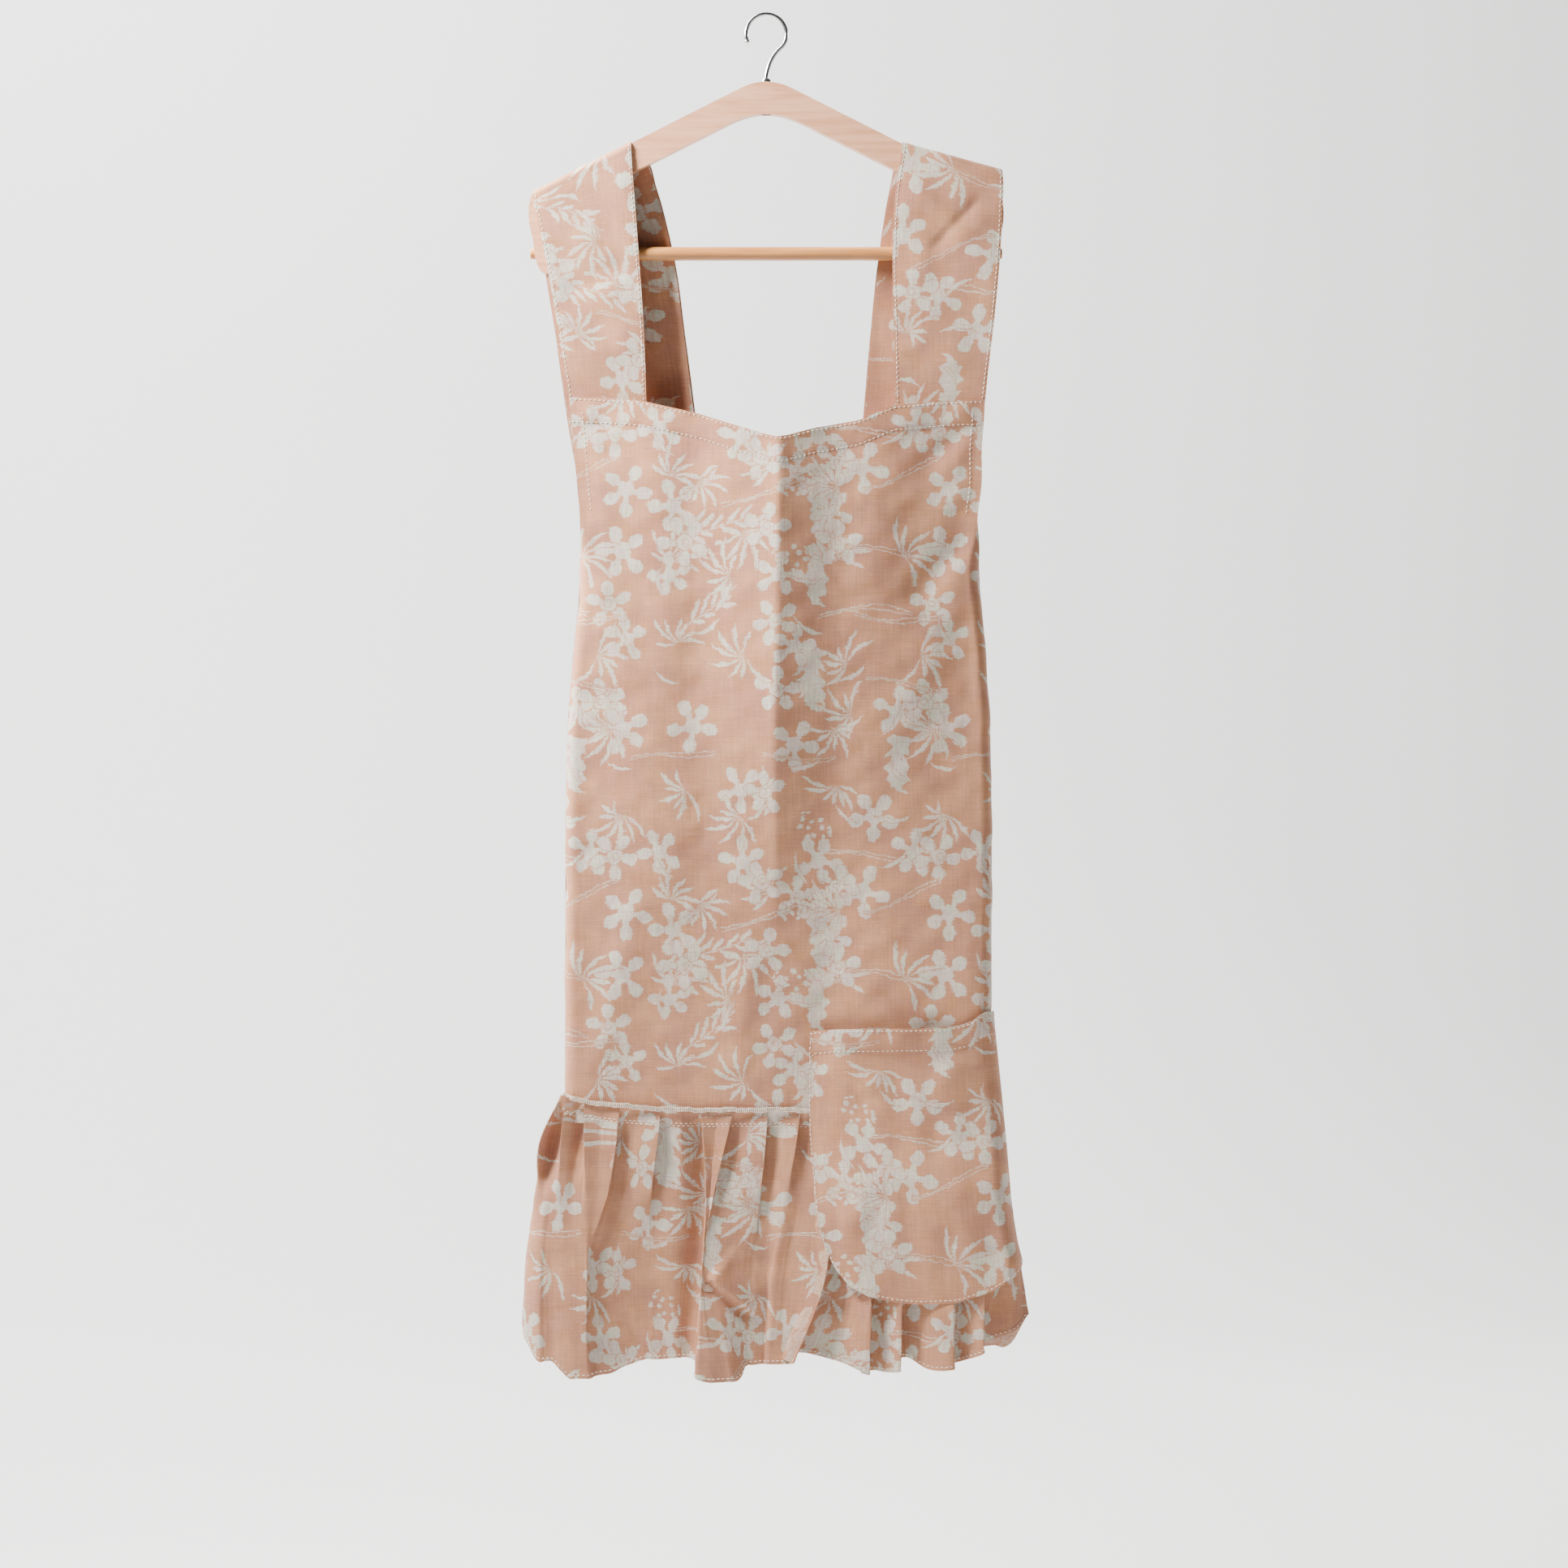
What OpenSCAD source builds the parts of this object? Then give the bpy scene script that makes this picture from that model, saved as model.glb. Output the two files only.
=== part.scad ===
// Wrap-back pinafore apron hanging on a wooden clothes hanger.
// Frame: origin where the hook rests on a rail, +Z up, the apron's front towards -Y.
// "left" and "right" are as seen from the front, so left is -X.

/* [Hanger] */
// Half of the hanger's overall width
hanger_half = 222; // [215:1:230]
// Thickness of the hanger's wooden board
board_t = 13; // [12:0.5:13.2]
// Width of the board, measured square to its top edge
board_w = 25; // [22:0.5:28]
// Fall of each shoulder, in millimetres per millimetre
shoulder_fall = 0.504; // [0.49:0.002:0.51]
// Radius of the trouser bar
bar_r = 6.4; // [5.5:0.1:6.6]
// Radius of the bar's turned-down ends, which pass through the board
spigot_r = 5; // [4:0.1:5.2]

/* [Hook] */
// Radius of the hook's wire
wire_r = 1.9; // [1.5:0.1:2.2]
// Radius of the largest rail that the hook takes
rail_r = 17; // [15:0.5:18]

/* [Apron] */
// Thickness of one layer of cloth
cloth_t = 1.0; // [0.8:0.1:1.2]
// Half depth of the apron from its middle to its front
front_depth = 13; // [12:0.5:14]
// Height of the turned hem along the bib's top edge
bib_hem_h = 24; // [18:1:28]
// How far the middle of the pocket stands off the cloth behind it
pocket_bulge = 9; // [8:0.5:11]
// Depth of the waves in the ruffle's hem
wave_depth = 4; // [2:0.5:5]

/* [Hidden] */
$fn = 48;

wood = "burlywood";
metal = "silver";
cloth = "rosybrown";
thread = "linen";

board_top = -62.3;             // top of the board under the hook
neck_half = 24;                // the shoulders start falling straight from here
bar_z = -222.7;
bar_half = 221;                // to the bar's ends, a little proud of the board
bar_shoulder = 190;            // where each turned-down end begins
lobe_low = bar_z - 19;         // lowest point of the board's ends
lobe_mid = 204;                // middle of the board's drooping end, where the bar goes through
hinge_gap = 0.1;
hole_gap = 0.05;
collar_seat_r = 3.1;           // hole in the board's top that the hook's collar sits in
collar_seat_z = board_top - 6;
counterbore_r = 4.6;           // hole from below for the hook's washer and nut
counterbore_top = board_top - 24;
counterbore_h = 16;
washer_t = 0.9;
washer_z = counterbore_top - 1;
nut_h = 3.4;
nut_z = washer_z - 3.6;
armhole_z = -482;              // bottom of the armholes
seam_z = -1024;                // top edge of the ruffle
panel_end_z = seam_z + 0.5;
wing_free = 158;               // how far past the middle each wing's free edge lies
inner_depth = 10;              // middle of the apron to the inner wing
outer_depth = 15;              // middle of the apron to the outer wing
side_round = 10;               // radius of the folds at the apron's sides
brad_r = 0.7;

// ---- helpers ----
function mix(a, b, t) = a + (b - a) * t;
function smooth(t) = let (c = max(0, min(1, t))) c * c * (3 - 2 * c);
function bezier(p, n) = [for (i = [0 : n]) let (t = i / n, s = 1 - t)
    p[0] * s * s * s + p[1] * 3 * s * s * t + p[2] * 3 * s * t * t + p[3] * t * t * t];
function clamp_to(i, n) = max(0, min(n, i));
function normal_at(g, i, j) = let (
    ni = len(g) - 1,
    nj = len(g[0]) - 1,
    a = g[clamp_to(i + 1, ni)][j] - g[clamp_to(i - 1, ni)][j],
    b = g[i][clamp_to(j + 1, nj)] - g[i][clamp_to(j - 1, nj)],
    c = cross(a, b)
) c / norm(c);

// A layer of cloth of thickness t whose middle runs through the grid of points g.
module sheet(g, t = cloth_t) {
    ni = len(g);
    nj = len(g[0]);
    function id(k, i, j) = k * ni * nj + i * nj + j;
    points = [for (k = [-0.5, 0.5], i = [0 : ni - 1], j = [0 : nj - 1])
        g[i][j] + normal_at(g, i, j) * t * k];
    skin = [for (i = [0 : ni - 2], j = [0 : nj - 2]) each [
        [id(0, i, j), id(0, i + 1, j), id(0, i + 1, j + 1)],
        [id(0, i, j), id(0, i + 1, j + 1), id(0, i, j + 1)],
        [id(1, i, j), id(1, i + 1, j + 1), id(1, i + 1, j)],
        [id(1, i, j), id(1, i, j + 1), id(1, i + 1, j + 1)]
    ]];
    ends = [for (i = [0 : ni - 2]) each [
        [id(0, i, 0), id(1, i, 0), id(1, i + 1, 0)],
        [id(0, i, 0), id(1, i + 1, 0), id(0, i + 1, 0)],
        [id(0, i, nj - 1), id(1, i + 1, nj - 1), id(1, i, nj - 1)],
        [id(0, i, nj - 1), id(0, i + 1, nj - 1), id(1, i + 1, nj - 1)]
    ]];
    sides = [for (j = [0 : nj - 2]) each [
        [id(0, 0, j), id(1, 0, j + 1), id(1, 0, j)],
        [id(0, 0, j), id(0, 0, j + 1), id(1, 0, j + 1)],
        [id(0, ni - 1, j), id(1, ni - 1, j), id(1, ni - 1, j + 1)],
        [id(0, ni - 1, j), id(1, ni - 1, j + 1), id(0, ni - 1, j + 1)]
    ]];
    polyhedron(points, concat(skin, ends, sides), convexity = 10);
}

// ---- the hanger ----
function shoulder_z(x) = x < neck_half
    ? board_top - shoulder_fall / 2 / neck_half * x * x
    : board_top - shoulder_fall * (x - neck_half / 2);
function drop() = board_w * sqrt(1 + shoulder_fall * shoulder_fall);

// Right half of the board: over the shoulder, round the drooping end and back under.
function board_half() = let (
    tip = [hanger_half - 5, shoulder_z(hanger_half - 5)],
    under = [lobe_mid - 26, shoulder_z(lobe_mid - 26) - drop()]
) concat(
    [for (i = [0 : 8]) let (x = neck_half * i / 8) [x, shoulder_z(x)]],
    bezier([tip, tip + [5, -2.5], [hanger_half + 3, -190], [hanger_half - 3, -206]], 8),
    bezier([[hanger_half - 4, -212], [hanger_half - 6, lobe_low + 8], [lobe_mid + 9, lobe_low],
        [lobe_mid, lobe_low]], 8),
    bezier([[lobe_mid - 2, lobe_low], [lobe_mid - 13, lobe_low], [lobe_mid - 8, bar_z + 12], under], 10),
    bezier([[34, shoulder_z(34) - drop()], [20, shoulder_z(20) - drop()], [10, board_top - 30],
        [0, board_top - 30]], 6)
);

module board_outline() {
    half = board_half();
    polygon(concat(half, [for (i = [len(half) - 2 : -1 : 1]) [-half[i][0], half[i][1]]]));
}

module hanger_board() {
    color(wood)
    difference() {
        rotate([90, 0, 0])
            linear_extrude(board_t, center = true)
                board_outline();
        // hole for the bar through both ends
        translate([0, 0, bar_z])
            rotate([0, 90, 0])
                cylinder(r = spigot_r + hole_gap, h = 2 * hanger_half + 20, center = true);
        // hole for the hook's shank, with a counterbore below for its washer and nut
        translate([0, 0, board_top - 40])
            cylinder(r = wire_r + hinge_gap, h = 60);
        translate([0, 0, counterbore_top - counterbore_h])
            cylinder(r = counterbore_r, h = counterbore_h);
        translate([0, 0, collar_seat_z])
            cylinder(r = collar_seat_r, h = 10);
        // holes for the brads that pin the bar
        for (side = [-1, 1])
            translate([side * lobe_mid, 0, bar_z - 30])
                cylinder(r = brad_r + hole_gap, h = 30);
    }
}

module trouser_bar() {
    color(wood)
    difference() {
        translate([0, 0, bar_z])
            rotate([0, 90, 0])
                rotate_extrude()
                    polygon([[0, -bar_half], [spigot_r - 0.8, -bar_half], [spigot_r, -bar_half + 0.8],
                        [spigot_r, -bar_shoulder], [bar_r, -bar_shoulder], [bar_r, bar_shoulder],
                        [spigot_r, bar_shoulder], [spigot_r, bar_half - 0.8], [spigot_r - 0.8, bar_half],
                        [0, bar_half]]);
        for (side = [-1, 1])
            translate([side * lobe_mid, 0, bar_z - 10])
                cylinder(r = brad_r + hole_gap, h = 10);
    }
}

// Two headed brads, driven up through the board's ends into the bar.
module bar_brads() {
    brad_top = bar_z - 0.5;
    head_z = lobe_low - 0.75;
    color(metal)
    for (side = [-1, 1])
        translate([side * lobe_mid, 0, head_z]) {
            cylinder(r = brad_r, h = brad_top - head_z);
            cylinder(r = 2 * brad_r, h = 0.7);
        }
}

// The hook's wire: over the rail, back to the middle and down through the board.
hook_r = rail_r + wire_r;

module wire_arc(radius, from, to) {
    rotate([90, 0, 0])
        rotate([0, 0, from])
            rotate_extrude(angle = to - from)
                translate([radius, 0])
                    circle(r = wire_r, $fn = 32);
}

module hook() {
    lead = 40;                                 // angle below the hook's middle where the wire turns down
    join_x = hook_r * cos(lead);
    bend_r = join_x / (1 - cos(90 - lead));
    join_z = -rail_r - hook_r * sin(lead);
    bend_z = join_z - bend_r * sin(90 - lead);
    color(metal) {
        translate([0, 0, -rail_r])
            wire_arc(hook_r, -lead, 200);
        // ball on the hook's tip
        translate([hook_r * cos(200), 0, -rail_r + hook_r * sin(200)])
            sphere(r = wire_r + 0.5, $fn = 32);
        // bend from the arc to the shank
        translate([bend_r, 0, bend_z])
            mirror([1, 0, 0])
                wire_arc(bend_r, 0, 90 - lead);
        translate([0, 0, nut_z - 0.8])
            cylinder(r = wire_r, h = bend_z - nut_z + 0.8);
    }
}

module hook_collar() {
    neck = collar_seat_r - hole_gap;
    color(metal)
    translate([0, 0, collar_seat_z])
        rotate_extrude()
            polygon([[wire_r + hinge_gap, 0], [neck, 0], [neck, 6.4], [5, 6.4], [5, 7], [3.4, 9.5],
                [wire_r + hinge_gap, 9.5]]);
}

module hook_washer() {
    color(metal)
    translate([0, 0, washer_z])
        difference() {
            cylinder(r = counterbore_r - 0.4, h = washer_t);
            translate([0, 0, -1])
                cylinder(r = wire_r + hinge_gap, h = 3);
        }
}

module hook_nut() {
    color(metal)
    translate([0, 0, nut_z])
        difference() {
            cylinder(r = counterbore_r - 0.6, h = nut_h, $fn = 6);
            translate([0, 0, -1])
                cylinder(r = wire_r, h = 6);
        }
}

// ---- the apron's body ----
// Left and right silhouettes of the front, from the hem up to the bib's corners.
function left_x(z) = lookup(z, [[-1045, -188.5], [-748, -187.7], [-660, -185.5], [-600, -181],
    [-548, -175.5], [-504, -173], [-460, -174.5], [-413, -179.5], [-360, -183.5]]);
function right_x(z) = lookup(z, [[-1045, 210.5], [-748, 211.3], [-672, 209.8], [-588, 205], [-535, 200],
    [-474, 197.6], [-413, 202], [-360, 204.4]]);
function neck_z(x) = lookup(x, [[-184, -361], [-112, -365.5], [-66, -375.7], [-37.5, -385.2], [10, -399],
    [44, -389.7], [89, -379], [120, -368.2], [204.5, -362.5]]);

// The front is flat with a round fold down each side, and open at the armholes.
function fold_angle(z) = 90 * smooth((armhole_z + 20 - z) / 60);
// The crease down the middle, strongest at the neck.
function crease(x, z) = 8 * exp(-abs(x - 10) / 45) * smooth((z + 760) / 320);

function front_point(u, z) = let (
    xl = left_x(z),
    xr = right_x(z),
    turn = fold_angle(z),
    side = u < 0.5 ? -1 : 1,
    middle = (xl + xr) / 2,
    half = (xr - xl) / 2,
    flat_half = half - side_round * sin(turn),
    length = flat_half + side_round * turn * PI / 180,
    s = abs(u - 0.5) * 2 * length,
    past = max(0, s - flat_half) / side_round * 180 / PI,
    x = middle + side * (min(s, flat_half) + side_round * sin(past)),
    lead = mix(-10.5, -front_depth, smooth((-360 - z) / 100))
) [x, lead + front_depth * (1 - cos(past)) - crease(x, z), z];

function front_columns() = [0, 0.015, 0.03, 0.06, 0.12, 0.2, 0.28, 0.36, 0.44, 0.495,
    0.56, 0.64, 0.72, 0.8, 0.88, 0.94, 0.97, 0.985, 1];

module front_panel() {
    rows = 22;
    color(cloth)
        sheet([for (i = [0 : rows]) [for (u = front_columns()) let (
            top = neck_z(mix(-184, 204, u)),
            z = mix(top, panel_end_z, pow(i / rows, 1.1))
        ) front_point(u, z)]]);
}

// The turned hem inside the bib's top edge. The straps' ends are held between it and the bib.
module bib_facing() {
    color(cloth)
        sheet([for (i = [0 : 2]) [for (k = [0 : 20]) let (
            u = mix(0.01, 0.99, k / 20),
            top = neck_z(mix(-184, 204, u)),
            z = top - 1 - i / 2 * (bib_hem_h - 1)
        ) front_point(u, z) + [0, 4.6, 0]]]);
}

// A wing runs from the fold at one side, across the back, to its free edge past the middle.
function wing_point(side, depth, s, z) = let (
    edge = side < 0 ? left_x(max(z, panel_end_z)) : right_x(max(z, panel_end_z)),
    quarter = side_round * PI / 2,
    past = min(s, quarter) / side_round * 180 / PI,
    run = max(0, s - quarter)
) [edge - side * (side_round * (1 - cos(past)) + run), 0.8 + (depth - 0.8) * sin(past), z];

module wing(side, depth) {
    rows = 16;
    cols = 14;
    color(cloth)
        sheet([for (i = [0 : rows]) [for (k = [0 : cols]) let (
            t = k < 5 ? 0.018 * k : mix(0.09, 1, (k - 5) / (cols - 5)),
            top = mix(armhole_z - 4, armhole_z + 2, smooth(t * 2)),
            z = mix(top, panel_end_z, i / rows),
            edge = side < 0 ? -left_x(z) : right_x(z),
            s = (edge + wing_free + side_round * 0.57) * t
        ) wing_point(side, depth, s, z)]]);
}

module left_wing() {
    wing(-1, inner_depth);
}

module right_wing() {
    wing(1, outer_depth);
}

// ---- the straps ----
// Each row is [outer x, outer z, inner x, inner z, y], from the bib over the board to the wing.
left_rows = [
    [-184, -382, -112, -385, -8.8], [-185, -360, -112, -365, -8.8], [-193, -299, -114.5, -300, -9.2],
    [-206, -230, -118.5, -222, -9.2], [-214, -190, -123, -160, -9], [-218, -174, -126.2, -127, -8.8],
    [-218.3, -168, -126.4, -121.5, -8.6], [-218.3, -164.4, -126.4, -117.9, -7],
    [-218.3, -164, -126.4, -117.5, 0], [-218.3, -164.4, -126.4, -117.9, 7],
    [-218.3, -168, -124, -121.5, 8.6], [-218, -174, -119, -128, 8.8], [-215, -195, -103, -158, 9],
    [-212, -223, -87.5, -223, 9.2], [-199, -292, -77, -292, 10.5], [-186, -374, -66, -374, 12.2],
    [-164, -500, -51, -500, 12.8]
];
right_rows = [
    [203, -384, 121, -387, -8.8], [204.4, -362, 120.8, -368, -8.8], [212.8, -292, 119.3, -292, -9.2],
    [219.4, -216, 118.2, -222, -9.2], [221.5, -170, 121, -160, -9], [222, -151, 126.5, -127.5, -8.8],
    [222, -146, 127.5, -122, -8.6], [222, -142.4, 127.5, -118.4, -7], [222, -142, 127.5, -118, 0],
    [222, -142.4, 127.5, -118.4, 7], [222, -146, 127, -122, 8.6], [221.5, -151, 124, -127.5, 8.8],
    [219, -180, 115, -160, 8.6], [217, -222, 105, -222, 8.6], [212, -292, 99, -292, 8.4],
    [204, -374, 92, -374, 8.4], [187, -500, 83, -500, 8.2]
];

// side is the strap's place across its thickness: -0.5 for the outer cloth, 0.5 for the lining.
module strap(rows, side, inset) {
    steps = 5;
    g = [for (r = rows) [for (k = [0 : steps]) let (t = mix(inset, 1 - inset, k / steps))
        [mix(r[0], r[2], t), r[4], mix(r[1], r[3], t)]]];
    layer = [for (i = [0 : len(g) - 1]) [for (j = [0 : steps])
        g[i][j] + normal_at(g, i, j) * side * (cloth_t + 0.1) * (g[0][0][0] < 0 ? -1 : 1)]];
    color(cloth)
        sheet(layer, cloth_t * 0.8);
}

module left_strap() {
    strap(left_rows, 0.5, 0);
}

module left_strap_lining() {
    strap(left_rows, -0.5, 0.008);
}

module right_strap() {
    strap(right_rows, 0.5, 0);
}

module right_strap_lining() {
    strap(right_rows, -0.5, 0.008);
}

// ---- the ruffles ----
function ruffle_left(z) = lookup(z, [[-1272, -229], [-1234, -227], [-1128, -219.6], [-1075, -212],
    [-1044, -199], [-1024, -190]]);
function ruffle_right(z) = lookup(z, [[-1272, 247], [-1220, 246], [-1190, 241.5], [-1160, 231], [-1082, 224],
    [-1024, 212]]);
function hem_z(x) = lookup(x, [[-229, -1236], [-190, -1271], [200, -1268], [247, -1222]]);
// The waves fade out towards the seam and under the pocket.
function wave(x, z, count) = let (
    low = smooth((-1050 - z) / 200),
    free = 1 - smooth((x - 15) / 30) * smooth((z + 1230) / 30)
) wave_depth * low * (0.25 + 0.75 * free) * sin((x + 229) / 476 * 360 * count);

function ruffle_point(side_y, depth, u, v, count) = let (
    guess = mix(-229, 247, u),
    z = mix(seam_z, hem_z(guess) + (side_y > 0 ? 8 : 0), v),
    x = mix(ruffle_left(z), ruffle_right(z), u),
    round_side = pow(max(0, 1 - pow(abs(2 * u - 1), 10)), 0.5),
    out = depth + 5 * smooth(v)
) [x, side_y * (0.9 + (out - 0.9 + wave(x, z, count)) * round_side), z];

function ruffle_grid(side_y, depth, from, to, cols, rows, count) =
    [for (i = [0 : rows]) [for (k = [0 : cols])
        let (t = k / cols, u = mix(from, to, t)) ruffle_point(side_y, depth, u, i / rows, count)]];

module front_ruffle() {
    color(cloth)
        sheet(ruffle_grid(-1, 15.6, 0, 1, 72, 10, 9));
}

module left_back_ruffle() {
    color(cloth)
        sheet(ruffle_grid(1, 12.6, 0, 0.85, 44, 7, 6));
}

module right_back_ruffle() {
    color(cloth)
        sheet(ruffle_grid(1, 17.6, 0.08, 1, 44, 7, 6));
}

// The overlocked edge of the ruffle, standing proud along the front seam up to the pocket.
module ruffle_seam_edge() {
    color(thread)
        sheet([for (i = [0 : 1]) [for (k = [0 : 24]) let (x = mix(-182, 40, k / 24))
            [x, -17.4, seam_z + 1 - 5 * i]]], 1.2);
}

// ---- the pocket ----
pocket_left = 40.5;

function pocket_right(z) = lookup(z, [[-1160, 234], [-1082, 228], [-1022, 223], [-968, 217], [-947, 213]]);
function pocket_bottom(t) = -1080 - 127 * pow(max(0, 1 - pow(abs(t), 2.5)), 0.4);
function pocket_top(t) = mix(-952, -948, smooth(t));

function pocket_point(t, v, lift) = let (
    z = mix(pocket_top(t), pocket_bottom(t * 0.98), v),
    wide = (pocket_right(max(z, -1160)) - pocket_left) / 2,
    x = pocket_left + wide * (1 + t),
    round_side = pow(max(0, 1 - pow(max(0, t), 14)), 0.5),
    swell = (1 - pow(abs(t), 4)) * smooth((1 - v) * 4),
    lead = mix(18.7, 25.5, smooth((-1010 - z) / 160))
) [x, -(2 + (lead - 2) * round_side) - pocket_bulge * swell * (1 - 0.3 * v) + lift, z];

module pocket() {
    color(cloth)
        sheet([for (i = [0 : 14]) [for (k = [0 : 18]) let (t = sin(mix(-90, 90, k / 18)))
            pocket_point(t * 0.995, i / 14, 0)]]);
}

// The pocket's turned top hem, on its inside.
module pocket_facing() {
    color(cloth)
        sheet([for (i = [0 : 1]) [for (k = [0 : 14]) let (t = mix(-0.96, 0.9, k / 14))
            pocket_point(t, 0.008 + i * 0.09, 1.3)]], cloth_t * 0.8);
}

hanger_board();
trouser_bar();
bar_brads();
hook();
hook_collar();
hook_washer();
hook_nut();
front_panel();
bib_facing();
left_strap();
left_strap_lining();
right_strap();
right_strap_lining();
left_wing();
right_wing();
front_ruffle();
left_back_ruffle();
right_back_ruffle();
ruffle_seam_edge();
pocket();
pocket_facing();
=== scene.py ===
import math

import bpy
import numpy as np
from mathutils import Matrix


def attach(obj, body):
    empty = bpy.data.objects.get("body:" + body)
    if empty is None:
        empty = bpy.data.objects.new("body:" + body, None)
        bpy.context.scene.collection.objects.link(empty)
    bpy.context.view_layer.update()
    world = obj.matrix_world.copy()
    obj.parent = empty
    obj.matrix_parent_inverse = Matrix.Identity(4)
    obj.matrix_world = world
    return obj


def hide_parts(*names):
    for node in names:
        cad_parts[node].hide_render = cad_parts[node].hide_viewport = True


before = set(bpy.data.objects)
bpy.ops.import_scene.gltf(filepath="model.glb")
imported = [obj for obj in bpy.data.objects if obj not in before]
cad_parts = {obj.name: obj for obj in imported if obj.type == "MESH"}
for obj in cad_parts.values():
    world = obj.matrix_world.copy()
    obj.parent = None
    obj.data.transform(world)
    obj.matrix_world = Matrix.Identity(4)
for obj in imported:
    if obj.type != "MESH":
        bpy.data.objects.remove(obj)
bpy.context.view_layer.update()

# A printed linen apron on a wooden hanger. Cloth is worked out in millimetres and stored in metres.
# "left" and "right" are as seen from the front, so left is -X.
MM = 0.001

LINEN_T = 0.5                    # one layer of cloth
BIB_MIDDLE = 10.0                # where the neckline's V and the crease below it lie
ARMHOLE_Z = -482.0               # where the sides close below the armholes
PANEL_END_Z = -1036.0            # the panel and the wings end just below the ruffle's seam
BIB_HEM = 23.0                   # depth of the turned hem inside the bib
POCKET_HEM = 21.0                # and inside the pocket
SIDE_ROUND = 10.0                # radius of the apron's turn round each side
WING_FREE = 158.0                # how far past the middle each wing's free edge lies
FRONT_DEPTH = 13.0               # middle of the apron to its front
BIB_SIDES = (-184, 204)          # x of the bib's top corners
TILE = (302.0, 395.0)            # repeat of the print
RIGHT_STRAP_CUT = (165.0, 88.0)  # how far along the fabric the right strap was cut from the left one
LINING_CUT = (400.0, 130.0)      # and each lining from its strap
FACING_CUT = (70.0, 40.0)        # and the pocket's hem from the pocket
THREAD_PITCH = 0.62              # two threads of the weave
LINING_GAP = 0.62                # from the middle of a strap's cloth to the middle of its lining
HEM_SWELL = 0.8                  # how much thicker the turned hems make the cloth over them
EDGE_STITCH = 2.2                # from a turned edge to the stitches beside it
SPARE = 0.001                    # in metres, added to cut sizes so that rounding never makes them too small


# ------------------------------------------------------------------ camera, light, backdrop
def make_camera():
    """A long lens, level with the middle of the apron and square to its front."""
    data = bpy.data.cameras.new("camera")
    data.lens = 98
    data.sensor_width = 36
    camera = bpy.data.objects.new("camera", data)
    camera.location = (0.0167, -4.0, -0.7195)
    camera.rotation_euler = (math.radians(90), 0, 0)
    bpy.context.collection.objects.link(camera)
    bpy.context.scene.camera = camera


def area_light(name, place, aim, size, power, tint=(1, 1, 1)):
    data = bpy.data.lights.new(name, "AREA")
    data.shape = "SQUARE"
    data.size = size
    data.energy = power
    data.color = tint
    lamp = bpy.data.objects.new(name, data)
    lamp.location = place
    east, north, up = np.array(aim) - np.array(place)
    lamp.rotation_euler = (math.atan2(math.hypot(east, north), -up), 0, math.atan2(north, east) - math.pi / 2)
    bpy.context.collection.objects.link(lamp)


def make_lights():
    """A hard key that rakes across the front from the left, and a lit wall. back_key lights the back."""
    warm = (1, 0.98, 0.95)
    area_light("key", (-0.98, -0.35, 0.34), aim=(0, 0, -0.6), size=0.34, power=106, tint=warm)
    area_light("right_fill", (1.7, -1.3, -0.5), aim=(0.2, 0, -0.8), size=1.0, power=0.7)
    area_light("back_key", (2.4, 2.4, 0.5), aim=(0, 0, -0.6), size=0.9, power=78, tint=warm)
    area_light("wall_wash", (-2.4, 1.4, 2.6), aim=(0.2, 4.8, -0.6), size=2.4, power=620)
    world = bpy.data.worlds.new("studio")
    world.use_nodes = True
    background = world.node_tree.nodes["Background"]
    background.inputs["Color"].default_value = (1, 1, 1, 1)
    background.inputs["Strength"].default_value = 0.07
    bpy.context.scene.world = world


# ------------------------------------------------------------------ number helpers
def mix(a, b, t):
    return a + (b - a) * t


def smooth(t):
    c = np.clip(t, 0, 1)
    return c * c * (3 - 2 * c)


def lookup(value, pairs):
    """Straight-line lookup in a list of (key, value) pairs with rising keys."""
    keys, values = zip(*pairs)
    return np.interp(value, keys, values)


def ripple(x, z, seed, size, height, count=9):
    """Soft random undulation: a sum of waves about size mm long, height mm high."""
    rng = np.random.default_rng(seed)
    total = np.zeros(np.broadcast(x, z).shape)
    for _ in range(count):
        angle = rng.uniform(0, 2 * math.pi)
        pitch = 2 * math.pi / (size * rng.uniform(0.6, 1.7))
        total += np.sin((x * math.cos(angle) + z * math.sin(angle)) * pitch + rng.uniform(0, 2 * math.pi))
    return total * height / math.sqrt(count)


def ridge(x, z, start, end, width, height, fade=0.25):
    """A wrinkle from start to end: a rounded ridge (or a valley, if height is negative)."""
    (x0, z0), (x1, z1) = start, end
    length = math.hypot(x1 - x0, z1 - z0)
    along = ((x - x0) * (x1 - x0) + (z - z0) * (z1 - z0)) / length
    across = ((x - x0) * (z1 - z0) - (z - z0) * (x1 - x0)) / length
    ends = smooth(along / length / fade) * smooth((1 - along / length) / fade)
    return height * np.exp(-(across / width) ** 2) * ends


def ridges(x, z, rows):
    """The sum of wrinkles, each a row of (start, end, width, height)."""
    return sum(ridge(x, z, *row) for row in rows)


def distances(path):
    """Distance along a path of points, at each of them."""
    gaps = np.linalg.norm(np.diff(path, axis=0), axis=1)
    return np.concatenate([[0], np.cumsum(gaps)])


def steps_to(path, distance):
    """How many points along a path a place lies that is distance mm from its start."""
    along = distances(path)
    return float(np.interp(distance, along, np.arange(len(along))))


def evened(values):
    """Values smoothed over 25 neighbours."""
    return np.convolve(np.pad(values, 12, mode="edge"), np.ones(25) / 25, mode="valid")


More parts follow.
